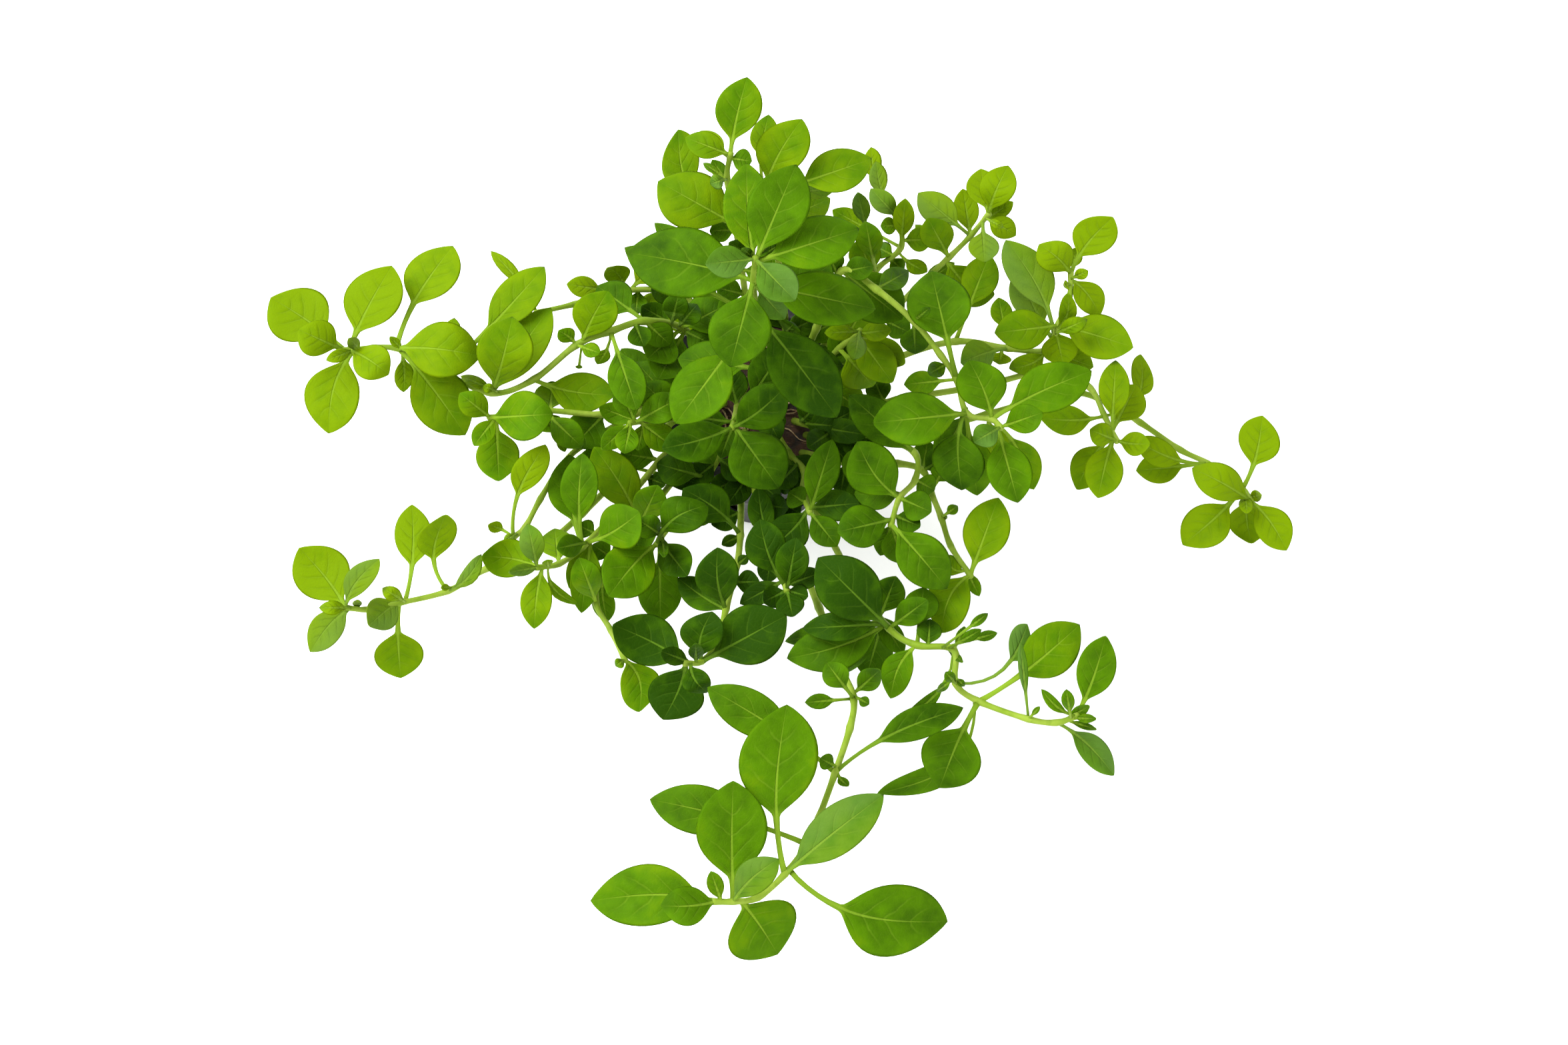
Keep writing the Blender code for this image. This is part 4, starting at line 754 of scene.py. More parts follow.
            (3, -13.5, -31.5, 76, 11.5, 0.2, 2.6), (3, -38.5, -56.5, 80, 14.5, 0.08, -0.8),
            (3, -18.5, -51, 78, 9, 0.1), (3, -25.2, -63.5, 68, 11.4, 0.25), (3, -31.5, -35.5, 82, 7, 0.1),
            (3, -24.5, -46, 80, 3, 0.1), (1, -27, -20, 60, 10, 0.2), (2, -11.5, -33, 62, 8, 0.2),
            (1, -5.2, -28, 52, 4.6, 0.5, 1.2), (1, -23, -26, 58, 6, 0.15), (2, -38, -45, 58, 8, 0.3),
        ],
    },
    "left_mid": {
        "route": [(-13, -12, 47), (-22, -24, 55), (-31, -37, 62), (-40, -49, 65), (-41.7, -58, 65),
                  (-37.6, -65.7, 66), (-34, -73.3, 68)],
        "leaves": [
            (6, -30, -87, 66, 10.3, 0.05, 2.2), (6, -36.3, -75, 70, 3, 0.1), (4, -46.5, -46, 76, 8, 0.08),
            (3, -38.7, -63.4, 60, 6, 0.3, -0.7), (2, -43.5, -15.3, 78, 11.5, 0.16, -1.0),
            (1, -47, -17.5, 66, 8, 0.6), (2, -26.5, -26, 76, 9, 0.1),
        ],
    },
    "left_rosette": {
        "route": [(-16, -7, 47), (-26, -19, 57), (-36, -32, 65), (-45.5, -43, 70), (-51.5, -47.7, 74),
                  (-57, -48.7, 77)],
        "leaves": [
            (5, -71.5, -45.7, 80, 10.8, 0.08, -1.0), (5, -60, -36.7, 88, 6.5, 0.1),
            (5, -64.5, -50, 86, 3.5, 0.15), (5, -57.2, -65.2, 74, 8.2, 0.1, -0.5),
            (5, -54.6, -46.5, 84, 3, 0.1), (5, -46, -58.8, 70, 3, 0.2, -2.5), (4, -53, -38, 68, 9, 0.15),
            (3, -46.5, -17, 84, 10, 0.28, 1.0), (3, -50, -17.5, 74, 11.5, 0.28, 1.3),
            (3, -31, -33.5, 84, 13, 0.2, -1.0), (3, -52.3, -43.5, 84, 6.5, 0.1),
            (3, -48.5, -54.5, 66, 6, 0.1), (3, -45.3, -61, 66, 8, 0.1), (1, -36.5, -17, 66, 8, 0.15),
        ],
    },
    "left_low": {
        "route": [(-17.5, -2, 47), (-31, -17, 53), (-46, -34, 56), (-58, -44.5, 57), (-70, -49, 57),
                  (-79.5, -55, 58), (-92, -58.3, 61), (-100, -60, 63), (-105.5, -59.5, 66)],
        "leaves": [
            (8, -118.6, -43.3, 68, 14.3, 0.1, -0.7), (8, -97.7, -46.3, 74, 7, 0.1, 1.5),
            (8, -112.3, -59.5, 71, 4, 0.15), (8, -113.7, -71.3, 64, 8.8, 0.08, -1.1),
            (8, -102.5, -57.3, 71, 2.5, 0.1), (6, -99.3, -64.3, 72, 9.5, 0.03, -0.4),
            (5, -81.3, -34.2, 70, 10, 0.42, 3.5), (6, -90.3, -78.2, 50, 12.6, 0.38, -0.4),
            (6, -90.2, -31.4, 56, 9.8, 0.36, -1.2), (5, -71.5, -45, 68, 4.5, 0.1, -1.5),
            (5, -81.5, -54, 61, 2, 0.3), (6, -96.5, -54.2, 68, 4, 0.1),
        ],
    },
    "left_thin": {
        "route": [(-18, 4, 47), (-31, -5, 57), (-46, -14.5, 65), (-52, -21, 68), (-57, -30, 69),
                  (-60.5, -37.5, 69), (-63.5, -40.5, 69)],
        "leaves": [
            (6, -56.2, -14.6, 80, 8.7, 0.42, 2.6), (6, -70.2, -37, 71, 3.5, 0.45, -0.5),
            (6, -66, -41.5, 72, 2.6, 0.2),
        ],
    },
    "left_side": {
        "route": [(-14, 1, 47), (-27, -2, 60), (-41, -6, 68), (-57, -5, 71), (-71, -7, 74)],
        "leaves": [
            (4, -54.5, -6, 86, 14.5, 0.06), (4, -79.5, 0, 80, 7.5, 0.08), (4, -75, -15, 80, 6, 0.1),
            (4, -68, -25, 76, 11.5, 0.2), (3, -54.5, -11, 66, 7, 0.2), (3, -46.5, -15.5, 74, 8, 0.2),
            (3, -51, -16.8, 62, 2.8, 0.6), (2, -49, -15, 62, 12, 0.1), (3, -55, 3.5, 66, 9, 0.1),
            (1, -37, 13, 58, 9, 0.3),
        ],
    },
    "left_inner": {
        "route": [(-9.5, -3, 47), (-21, -7, 62), (-34, -8.5, 74)],
        "leaves": [
            (2, -41.5, -16, 80, 6, 0.1), (2, -35.5, -17.3, 80, 6.5, 0.1), (2, -37.5, 2, 78, 7, 0.1),
            (2, -21, -1, 80, 9, 0.1), (2, -22, -16, 70, 8, 0.1), (1, -12, -20, 60, 9, 0.15),
            (1, -31, 3, 68, 10, 0.2), (2, -42.5, -4, 72, 6.5, 0.1), (2, -32, -16.5, 66, 5, 0.1),
            (1, -33, 9, 60, 11, 0.25),
        ],
    },
    "inner": {
        "route": [(-4, 2, 47), (-6, -4, 64), (-7.3, -9.7, 76)],
        "leaves": [
            (2, 6.8, 2, 88, 12.5, 0.06, -1), (2, -25.7, -15.8, 86, 12, 0.08, 0.8), (2, 5, -27, 80, 16, 0.1),
            (2, -10.3, -18.5, 74, 6, 0.1), (2, -23, -6, 80, 9, 0.1), (2, 7, 14, 94, 11, 0.35),
            (1, -9, 8, 64, 9, 0.1),
        ],
    },
    "inner_right": {
        "route": [(5, -3, 47), (14, 5, 64), (21, 13, 76), (26.5, 18, 83)],
        "leaves": [
            (3, 17, 17.5, 90, 5, 0.1), (3, 25, 9.5, 92, 5.5, 0.1), (3, 35, 3, 86, 10.5, 0.1),
            (3, 35, 18.5, 90, 6, 0.1), (3, 38.5, 8.5, 82, 9, 0.2), (2, 30, 2, 70, 12, 0.25),
            (2, 29, 27, 80, 11, 0.2), (1, 27, -5, 62, 10, 0.3), (1, 22, -10, 58, 12, 0.2),
        ],
    },
    "inner_front": {
        "route": [(4, -11, 47), (7.5, -17, 56), (11.5, -22, 64), (11, -28, 70), (13, -33.5, 75)],
        "leaves": [
            (4, 19, -13.2, 86, 9, 0.1), (4, 20, -43, 80, 8, 0.1), (4, 2, -44, 74, 10.5, 0.1, 1.0),
            (4, 26, -31, 80, 9, 0.1), (2, 17, -29, 62, 7, 0.2), (1, -7, -23, 60, 9, 0.2),
            (1, 9, -28, 56, 7, 0.1), (4, 7.5, -28, 72, 7, 0.1),
        ],
    },
}

# Stems: round, juicy and pale green, a little swollen at each node. Each one grows out of the plug,
# rises clear of the pot and leans out.
STEM_ROOT_RADIUS = 0.98
STEM_TIP_RADIUS = 0.62
STEM_SIDES = 10
STEM_SKIN = 2
STEM_STEP = 1.4
STEM_RISE = 8.0
NODE_SWELL = 0.28
NODE_LENGTH = 1.5
STEM_KNEE = 0.25
STEM_END = (0.5, 0.9)
STEM_END_SHARE = 0.45
STEM_GREEN = (0.17, 0.27, 0.015)
STEM_PALE = (0.24, 0.34, 0.035)
STEM_DEEP = (0.09, 0.17, 0.006)
STEM_GLOW = (0.16, 0.26, 0.01)
STEM_GLOW_SHARE = 0.15


def placed(x, y, height):
    """The point of this height on the line of sight that crosses the rim's level at x, y."""
    share = (EYE.z - height) / (EYE.z - RIM_LEVEL)
    return Vector((EYE.x + (x - EYE.x) * share, EYE.y + (y - EYE.y) * share, height))


def curve_through(route, spacing):
    """Points along a smooth curve through the route, and the numbers of the route's own points."""
    points = [Vector(point) for point in route]
    ends = [points[0] * 2 - points[1]] + points + [points[-1] * 2 - points[-2]]
    path = []
    nodes = []
    for index in range(len(points) - 1):
        nodes.append(len(path))
        p0, p1, p2, p3 = ends[index:index + 4]
        steps = max(1, round((p2 - p1).length / spacing))
        for step in range(steps):
            t = step / steps
            path.append(0.5 * (2 * p1 + (p2 - p0) * t + (2 * p0 - 5 * p1 + 4 * p2 - p3) * t * t
                               + (3 * p1 - p0 - 3 * p2 + p3) * t ** 3))
    nodes.append(len(path))
    path.append(points[-1])
    return path, nodes


def stem_path(name, spacing):
    """The shoot's smooth line, which rises out of the pot before it leans, and its nodes' numbers."""
    route = [Vector(point) for point in SHOOTS[name]["route"]]
    knee = route[0].lerp(route[1], STEM_KNEE)
    knee.z = route[0].z + STEM_RISE
    path, nodes = curve_through([route[0], knee] + route[1:], spacing)
    return path, [nodes[0]] + nodes[2:]


def back_along(path, index, distance):
    """The point of the path this far before its numbered point."""
    while distance > 0 and index > 0:
        step = path[index - 1] - path[index]
        if step.length >= distance:
            return path[index] + step.normalized() * distance
        distance -= step.length
        index -= 1
    return path[index]


def add_stem(bm, name):
    """A shoot's stem: a closed tube that swells at its nodes and is rounded off at its end."""
    path, nodes = stem_path(name, STEM_STEP)
    path = [placed(*point) for point in path]
    beyond = (path[-1] - path[-2]).normalized()
    path += [path[-1] + beyond * distance for distance in STEM_END]
    last = len(path) - 1
    swellings = [path[node] for node in nodes[1:]]
    across = (path[1] - path[0]).orthogonal()
    rings = []
    for index, point in enumerate(path):
        near = min((point - node).length for node in swellings)
        radius = STEM_ROOT_RADIUS + (STEM_TIP_RADIUS - STEM_ROOT_RADIUS) * index / len(path)
        radius *= 1 + NODE_SWELL * math.exp(-(near / NODE_LENGTH) ** 2)
        if index == last:
            radius *= STEM_END_SHARE
        along = (path[min(index + 1, last)] - path[max(index - 1, 0)]).normalized()
        across = (across - along * across.dot(along)).normalized()
        rings.append(tube_ring(bm, point, along, across, radius, STEM_SIDES))
    close_tube(bm, rings, STEM_SKIN)


stem_finish = Finish("juicy_stem")
stem_streaks = stem_finish.noise(700.0, 3.0, (1, 1, 0.35))
stem_patches = stem_finish.noise(130.0, 2.0)
stem_colour = stem_finish.mix(stem_patches.band(0.35, 0.65), STEM_GREEN, STEM_PALE)
stem_colour = stem_finish.mix(stem_streaks.band(0.5, 0.75) * 0.4, stem_colour, STEM_DEEP)
stem_glow = stem_finish.node("ShaderNodeBsdfTranslucent", {}, {"Color": STEM_GLOW})
stem_skin = stem_finish.node("ShaderNodeBsdfPrincipled", {}, {
    "Base Color": stem_colour,
    "Roughness": 0.45 + stem_streaks * 0.15,
    "Specular IOR Level": 0.10,
    "Normal": stem_finish.bump(stem_streaks, 0.00012),
})
stem_finish.surface(stem_finish.node(
    "ShaderNodeMixShader", {}, {0: STEM_GLOW_SHARE, 1: stem_skin, 2: stem_glow},
))

# Leaves: soft, thin and matt, broad in the middle and pointed, in opposite pairs. Each blade narrows
# into a grooved stalk, and its midrib and three or four pairs of side veins show paler. The open
# ones on the outside are yellow-green, and those within the plant are deep green: partly the leaves'
# own colour and partly painted shade, where the leaves shade each other.
STALK_FOOT = 0.74
STALK_WAIST = 0.58
STALK_HEAD = 0.80
WAIST_PLACE = 0.55
WAIST_REACH = 0.5
STALK_SLIMNESS = (0.42, 0.048, 1.15)
STALK_THICKNESS = 1.0
STALK_LIFT = 0.35
STALK_FADE = 0.06
STALK_FLARE = 3
BLADE_THICKNESS = 0.32
EDGE_THICKNESS = 0.1
MIDRIB_DEPTH = 0.5
MIDRIB_REACH = 0.55
BLADE_ROUNDNESS = 0.72
BLADE_FULLNESS = 4 ** BLADE_ROUNDNESS
BASE_WAIST = 0.55
BASE_REACH = 0.13
BASE_CURVE = 1.3
TIP_POINT = 0.30
TIP_REACH = 0.09
TIP_CURVE = 1.2
BOW_SKEW = 0.85
LEAF_LIFT = 0.10
LEAF_ROLL = 0.12
PAIR_SPACING = 1.6
ROUTE_STEP = 18.0
LEAF_ROWS = (5, 20)
SMALL_LEAF = 6.0
SMALL_LEAF_ROWS = (2, 8)
ROW_EASE = 0.225
SLOPE_STEP = 0.02
ACROSS = (-1.0, -0.9, -0.72, -0.5, -0.28, -0.11, 0.0, 0.11, 0.28, 0.5, 0.72, 0.9, 1.0)
FOLD = 0.15
CUP = 0.13
RIPPLE = 0.04
RIPPLE_RUN = 9
QUILT = 0.008
TIP_CURL = 0.05
VEIN_PAIRS = 4.6
VEIN_SWEEP = 0.24
VEIN_ARCH = 0.10
UPPER_SKIN = 0
UNDER_SKIN = 1

AIR_BETWEEN_LEAVES = 2.3
SETTLING_ROUNDS = 60
SETTLING_REACH = 12.0
LEAF_PUSH = 0.3
STEM_PUSH = 0.5
PUSH_SOFTNESS = 0.02
LOWEST_LEAF = 7.0
NEAR_ROOT = 5.0
CELL = 2.0


class Leaf:
    """One leaf, from its place on the stem to its tip, with the heights of its middle and tip free."""

    def __init__(self, shoot, number, order, root, row):
        self.name = f"leaf_{shoot}_{number}"
        self.shoot = shoot
        self.number = number
        self.order = order
        self.settled = False
        self.place, tip_x, tip_y, self.tip_height, self.breadth, self.stalk = row[:6]
        self.bow = row[6] if len(row) > 6 else 0.0
        least, by_breadth, most = STALK_SLIMNESS
        self.stalk_scale = min(most, least + by_breadth * self.breadth)
        self.root = Vector(root[:2])
        self.root_height = root[2]
        self.tip = Vector((tip_x, tip_y))
        self.length = (self.tip - self.root).length
        level = (self.root_height + self.tip_height) / 2
        self.middle_height = level + LEAF_LIFT * self.length
        self.roll = LEAF_ROLL * math.sin(2.4 * order)
        self.first_heights = (self.middle_height, self.tip_height)

    def half_breadth(self, t):
        """The stalk has a broad foot and a waist, and opens in a hollow curve into the pointed blade."""
        if t <= self.stalk:
            up = t / self.stalk
            waist = min(1.0, abs(up - WAIST_PLACE) / WAIST_REACH) ** 2
            end = STALK_FOOT if up < WAIST_PLACE else STALK_HEAD
            return (STALK_WAIST + (end - STALK_WAIST) * waist) * self.stalk_scale
        along = (t - self.stalk) / (1 - self.stalk)
        blade = BLADE_FULLNESS * (along * max(0.0, 1 - along)) ** BLADE_ROUNDNESS * self.breadth / 2
        blade *= 1 - BASE_WAIST * math.exp(-(along / BASE_REACH) ** BASE_CURVE)
        blade *= 1 - TIP_POINT * math.exp(-((1 - along) / TIP_REACH) ** TIP_CURVE)
        stalk = STALK_HEAD * self.stalk_scale * max(0.0, 1 - along * STALK_FLARE)
        return (blade ** 3 + stalk ** 3) ** (1 / 3)

    def height(self, t):
        return ((1 - t) ** 2 * self.root_height + 2 * t * (1 - t) * self.middle_height
                + t * t * self.tip_height)

    def plan(self, t, side):
        """Where the leaf's point is seen at the rim's level; side runs from -1 to 1 across the blade."""
        axis = self.root.lerp(self.tip, t)
        along = (self.tip - self.root).normalized()
        across = Vector((-along.y, along.x))
        bow = self.bow * math.sin(math.pi * max(0.0, t) ** BOW_SKEW)
        return axis + across * (side * self.half_breadth(t) + bow)

    def form(self, t, side):
        """How far the blade's own form stands off the plain sheet: folded, cupped and rippled."""
        half = self.half_breadth(t)
        if t <= self.stalk:
            return 0.0
        along = (t - self.stalk) / (1 - self.stalk)
        fold = FOLD * abs(side) * half
        cup = -CUP * side * side * half * (0.4 + 0.6 * along)
        phase = 1.7 * self.order
        ripple = RIPPLE * half * side * side * math.sin(RIPPLE_RUN * along + phase + 2 * side)
        curl = -TIP_CURL * self.length * along ** 3
        run = along - VEIN_SWEEP * abs(side) - VEIN_ARCH * side * side
        quilt = QUILT * half * math.sin(2 * math.pi * VEIN_PAIRS * run) * 4 * abs(side) * (1 - abs(side))
        return fold + cup + ripple + curl + quilt

    def level(self, t, side):
        return self.height(t) + self.roll * side * self.half_breadth(t) + self.form(t, side)

    def point(self, t, side):
        seen = self.plan(t, side)
        return placed(seen.x, seen.y, self.level(t, side))


def all_leaves():
    """The leaves of every shoot; where several share a node, each pair sits a little below the last."""
    leaves = []
    for name, shoot in SHOOTS.items():
        path, nodes = stem_path(name, ROUTE_STEP)
        shared = {}
        for number, row in enumerate(shoot["leaves"], 1):
            before = shared.get(row[0], 0)
            shared[row[0]] = before + 1
            root = back_along(path, nodes[row[0]], PAIR_SPACING * (before // 2))
            leaves.append(Leaf(name, number, len(leaves), root, row))
    return leaves


def cell_of(seen):
    return round(seen.x / CELL), round(seen.y / CELL)


def stem_cells():
    """The cells that the stems cross in plan, with the stem's height and name in each."""
    cells = {}
    for name in SHOOTS:
        for point in stem_path(name, CELL)[0]:
            cells.setdefault(cell_of(point), []).append((name, point.z))
    return cells


def side_of(difference):
    return 1 if difference >= 0 else -1


def held(wanted, first):
    """The wanted height, but no farther from the leaf's first height than it may settle."""
    return min(max(wanted, first - SETTLING_REACH, LOWEST_LEAF), first + SETTLING_REACH)


def settle(leaves):
    """Leaves that cross in plan move apart along the line of sight until there is air between them."""
    stems = stem_cells()
    samples = [(t / 10, side / 2) for t in range(1, 11) for side in range(-2, 3)]
    covers = []
    for leaf in leaves:
        cover = {}
        for t, side in samples:
            cover.setdefault(cell_of(leaf.plan(t, side)), (t, side))
        covers.append(cover)
    owners = {}
    for index, cover in enumerate(covers):
        for cell in cover:
            owners.setdefault(cell, []).append(index)

    def height_at(index, cell):
        return leaves[index].level(*covers[index][cell])

    shared = {}
    for cell, indices in owners.items():
        for first in indices:
            for second in indices:
                if first < second:
                    shared.setdefault((first, second), []).append(cell)
    order = {}
    for pair, cells in shared.items():
        order[pair] = side_of(sum(height_at(pair[0], cell) - height_at(pair[1], cell) for cell in cells))
    over_stems = {}
    for index, cover in enumerate(covers):
        leaf = leaves[index]
        for cell, (t, side) in cover.items():
            for name, height in stems.get(cell, []):
                if name != leaf.shoot or t * leaf.length > NEAR_ROOT:
                    over_stems.setdefault((index, name), []).append((cell, height))
    crossings = []
    for (index, name), places in over_stems.items():
        sign = side_of(sum(height_at(index, cell) - height for cell, height in places))
        for cell, height in places:
            crossings.append((index, cell, height, sign))

    def push(moves, index, cell, amount):
        """The greatest moves up and down that are asked of a leaf's middle and of its tip."""
        t = covers[index][cell][0]
        middle_share = 2 * t * (1 - t)
        tip_share = t * t
        both = middle_share ** 2 + tip_share ** 2 + PUSH_SOFTNESS
        middle = amount * middle_share / both
        tip = amount * tip_share / both
        change = moves.setdefault(index, [0.0, 0.0, 0.0, 0.0])
        change[0] = max(change[0], middle)
        change[1] = min(change[1], middle)
        change[2] = max(change[2], tip)
        change[3] = min(change[3], tip)

    for _ in range(SETTLING_ROUNDS):
        moves = {}
        for (first, second), cells in shared.items():
            sign = order[first, second]
            for cell in cells:
                air = sign * (height_at(first, cell) - height_at(second, cell))
                if air < AIR_BETWEEN_LEAVES:
                    step = sign * (AIR_BETWEEN_LEAVES - air) * LEAF_PUSH
                    push(moves, first, cell, step)
                    push(moves, second, cell, -step)
        for index, cell, height, sign in crossings:
            air = sign * (height_at(index, cell) - height)
            if air < AIR_BETWEEN_LEAVES:
                push(moves, index, cell, sign * (AIR_BETWEEN_LEAVES - air) * STEM_PUSH)
        if not moves:
            break
        for index, change in moves.items():
            leaf = leaves[index]
            if not leaf.settled:
                middle, tip = leaf.first_heights
                leaf.middle_height = held(leaf.middle_height + change[0] + change[1], middle)
                leaf.tip_height = held(leaf.tip_height + change[2] + change[3], tip)
    for leaf in leaves:
        leaf.settled = True


def add_leaf(bm, leaf):
    """A closed thin leaf: the upper skin, the under skin with its midrib, and one shared edge."""
    place_layer = bm.verts.layers.float_vector["blade_place"]
    tone_layer = bm.verts.layers.float["leaf_tone"]
    small = leaf.breadth < SMALL_LEAF
    across = ACROSS[::2] if small else ACROSS
    stalk_rows, blade_rows = SMALL_LEAF_ROWS if small else LEAF_ROWS
    stations = [leaf.stalk * row / stalk_rows for row in range(stalk_rows)]
    for row in range(blade_rows):
        share = row / blade_rows
        eased = (1 - 2 * ROW_EASE) * share + ROW_EASE * (1 - math.cos(math.pi * share))
        stations.append(leaf.stalk + (1 - leaf.stalk) * eased)

    def new_vert(point, t, side):
        vert = bm.verts.new(point * MM)
        along = (t - leaf.stalk) / (1 - leaf.stalk)
        vert[place_layer] = (along, side, leaf.half_breadth(t))
        vert[tone_layer] = leaf.tone
        return vert

    upper_rows = []
    under_rows = []
    for t in stations:
        along = max(0.0, (t - leaf.stalk) / (1 - leaf.stalk))
        stalky = math.exp(-(along / STALK_FADE) ** 2) if t > leaf.stalk else 1.0
        ahead = leaf.point(min(t + SLOPE_STEP, 1.0), 0) - leaf.point(max(t - SLOPE_STEP, 0.0), 0)
        beside = leaf.point(t, 1) - leaf.point(t, -1)
        below = -beside.cross(-ahead).normalized()
        if below.z > 0:
            below = -below
        upper = []
        under = []
        for side in across:
            point = leaf.point(t, side)
            round_off = math.sqrt(max(0.0, 1 - side * side))
            blade = EDGE_THICKNESS + (BLADE_THICKNESS - EDGE_THICKNESS) * round_off
            rib = MIDRIB_DEPTH * (1 - along) * math.exp(-(side * leaf.half_breadth(t) / MIDRIB_REACH) ** 2)
            stalk_depth = STALK_THICKNESS * leaf.stalk_scale * round_off * stalky
            thickness = (blade + rib) * (1 - stalky) + stalk_depth
            top = point - below * (STALK_LIFT * stalk_depth)
            if abs(side) == 1.0:
                edge = new_vert(top, t, side)
                upper.append(edge)
                under.append(edge)
            else:
                upper.append(new_vert(top, t, side))
                under.append(new_vert(top + below * thickness, t, side))
        upper_rows.append(upper)
        under_rows.append(under)
    tip = new_vert(leaf.point(1, 0), 1, 0)
    steps = range(len(across) - 1)
    for row, following in zip(upper_rows, upper_rows[1:]):
        for step in steps:
            add_face(bm, (row[step + 1], row[step], following[step], following[step + 1]), UPPER_SKIN)
    for row, following in zip(under_rows, under_rows[1:]):
        for step in steps:
            add_face(bm, (row[step], row[step + 1], following[step + 1], following[step]), UNDER_SKIN)
    for step in steps:
        add_face(bm, (upper_rows[-1][step + 1], upper_rows[-1][step], tip), UPPER_SKIN)
        add_face(bm, (under_rows[-1][step], under_rows[-1][step + 1], tip), UNDER_SKIN)
    add_face(bm, upper_rows[0] + list(reversed(under_rows[0][1:-1])), UNDER_SKIN)


LEAF_DEEP = (0.013, 0.043, 0.0002)
LEAF_MIDDLE = (0.060, 0.150, 0.0003)
LEAF_BRIGHT = (0.150, 0.250, 0.0004)
DEEP_VEIN = (0.065, 0.140, 0.008)
BRIGHT_VEIN = (0.19, 0.31, 0.018)
# A painted grey sheen: a greyish green that stands in for light reflected off some blades.
LEAF_PAINTED_SHEEN = (0.090, 0.175, 0.036)
LEAF_GLOW = (0.13, 0.24, 0.001)
UNDER_DEEP = (0.03, 0.085, 0.004)
UNDER_MIDDLE = (0.080, 0.160, 0.007)
UNDER_BRIGHT = (0.15, 0.24, 0.012)
UNDER_DEEP_VEIN = (0.10, 0.19, 0.015)
UNDER_BRIGHT_VEIN = (0.24, 0.35, 0.05)
UPPER_ROUGHNESS = 0.5
UNDER_ROUGHNESS = 0.6
VEIN_NET_SCALE = 1000.0
SHEEN_MARK = 2.0


def leaf_finish(name, deep, middle, bright, deep_vein, bright_vein, roughness):
    """A leaf's skin: tone, partly painted shade, and a painted grey sheen vary from leaf to leaf, and veins
    follow each blade's own run.
    """
    finish = Finish(name)
    place = finish.node("ShaderNodeAttribute", {"attribute_name": "blade_place"}).of("Vector")
    place = finish.node("ShaderNodeSeparateXYZ", {}, {"Vector": place})
    along, side, half = place.of("X"), place.of("Y"), place.of("Z")
    tone = finish.node("ShaderNodeAttribute", {"attribute_name": "leaf_tone"}).of("Fac")
    # Painted sheen: a tone past the mark flags a leaf that gets the painted grey sheen of reflected light.
    painted_sheen = (tone - (SHEEN_MARK - 0.5)).band(-0.1, 0.1)
    tone = tone - painted_sheen * SHEEN_MARK
    wander = finish.noise(170.0, 2.0)
    mottle = finish.noise(420.0, 4.0)
    reach = abs(side)
    from_rib = reach * half
    rib_width = 0.58 - 0.50 * along
    rib = 1.0 - (from_rib / rib_width).band(0.4, 1.0)
    rib = rib * (1.0 - along.band(0.40, 0.95) * 0.8)
    run = along - reach * VEIN_SWEEP - reach * reach * VEIN_ARCH
    run = (run + (wander - 0.5) * 0.12 + side * 0.025) * VEIN_PAIRS
    from_vein = abs(run - run.maths("ROUND", run))
    fading = (1.0 - reach.band(0.35, 0.88)) * along.band(0.02, 0.10) * (1.0 - along.band(0.66, 0.85))
    side_veins = (1.0 - from_vein.band(0.02, 0.085)) * fading
    beside_veins = (1.0 - from_vein.band(0.06, 0.28)) * fading
    net = finish.node("ShaderNodeTexVoronoi", {"feature": "DISTANCE_TO_EDGE"}, {
        "Vector": finish.node("ShaderNodeTexCoord").of("Object"), "Scale": VEIN_NET_SCALE,
    }).of("Distance")
    mesh_veins = 1.0 - net.band(0.0, 0.10)
    shift = (mottle - 0.5) * 0.26 + (wander - 0.5) * 0.6 + reach * reach * 0.13 - along.band(0.3, 1.0) * 0.10
    # The tone, partly the leaf's own colour and partly painted shade, sets the blade between deep, middle
    # and bright green.
    colour = finish.mix((tone + shift) * 2.0, deep, middle)
    colour = finish.mix((tone + shift) * 2.0 - 1.0, colour, bright)
    vein = finish.mix(tone * 1.6 + 0.1, deep_vein, bright_vein)
    # Painted shade: a faint darkening beside the side veins, in the creases of the blade.
    colour = finish.mix(beside_veins * 0.08, colour, deep)
    colour = finish.mix(mesh_veins * 0.05 + side_veins * (0.06 + wander * 0.22), colour, vein)
    colour = finish.mix(rib * 0.75 + (1.0 - along.band(-0.02, 0.10)) * 0.65, colour, vein)
    # The painted sheen of reflected light, stronger on one half of the blade.
    colour = finish.mix(painted_sheen * (0.05 + mottle * 0.3 + side.band(-0.4, 0.6) * 0.3), colour, LEAF_PAINTED_SHEEN)
    height = 1.0 - rib * 0.6 - side_veins * 0.22 - beside_veins * 0.22 - mesh_veins * 0.08 + mottle * 0.35
    skin_shader = finish.node("ShaderNodeBsdfPrincipled", {}, {
        "Base Color": colour,
        "Roughness": roughness + mottle * 0.2,
        "Specular IOR Level": 0.03,
        "Normal": finish.bump(height, 0.00030),
    })
    glow = finish.node("ShaderNodeBsdfTranslucent", {}, {"Color": LEAF_GLOW})
    share = 0.06 + tone * 0.18
    return finish.surface(finish.node("ShaderNodeMixShader", {}, {0: share, 1: skin_shader, 2: glow}))


leaf_upper = leaf_finish(
    "leaf_upper", LEAF_DEEP, LEAF_MIDDLE, LEAF_BRIGHT, DEEP_VEIN, BRIGHT_VEIN, UPPER_ROUGHNESS,
)
leaf_under = leaf_finish(
    "leaf_underside", UNDER_DEEP, UNDER_MIDDLE, UNDER_BRIGHT, UNDER_DEEP_VEIN, UNDER_BRIGHT_VEIN,
    UNDER_ROUGHNESS,
)
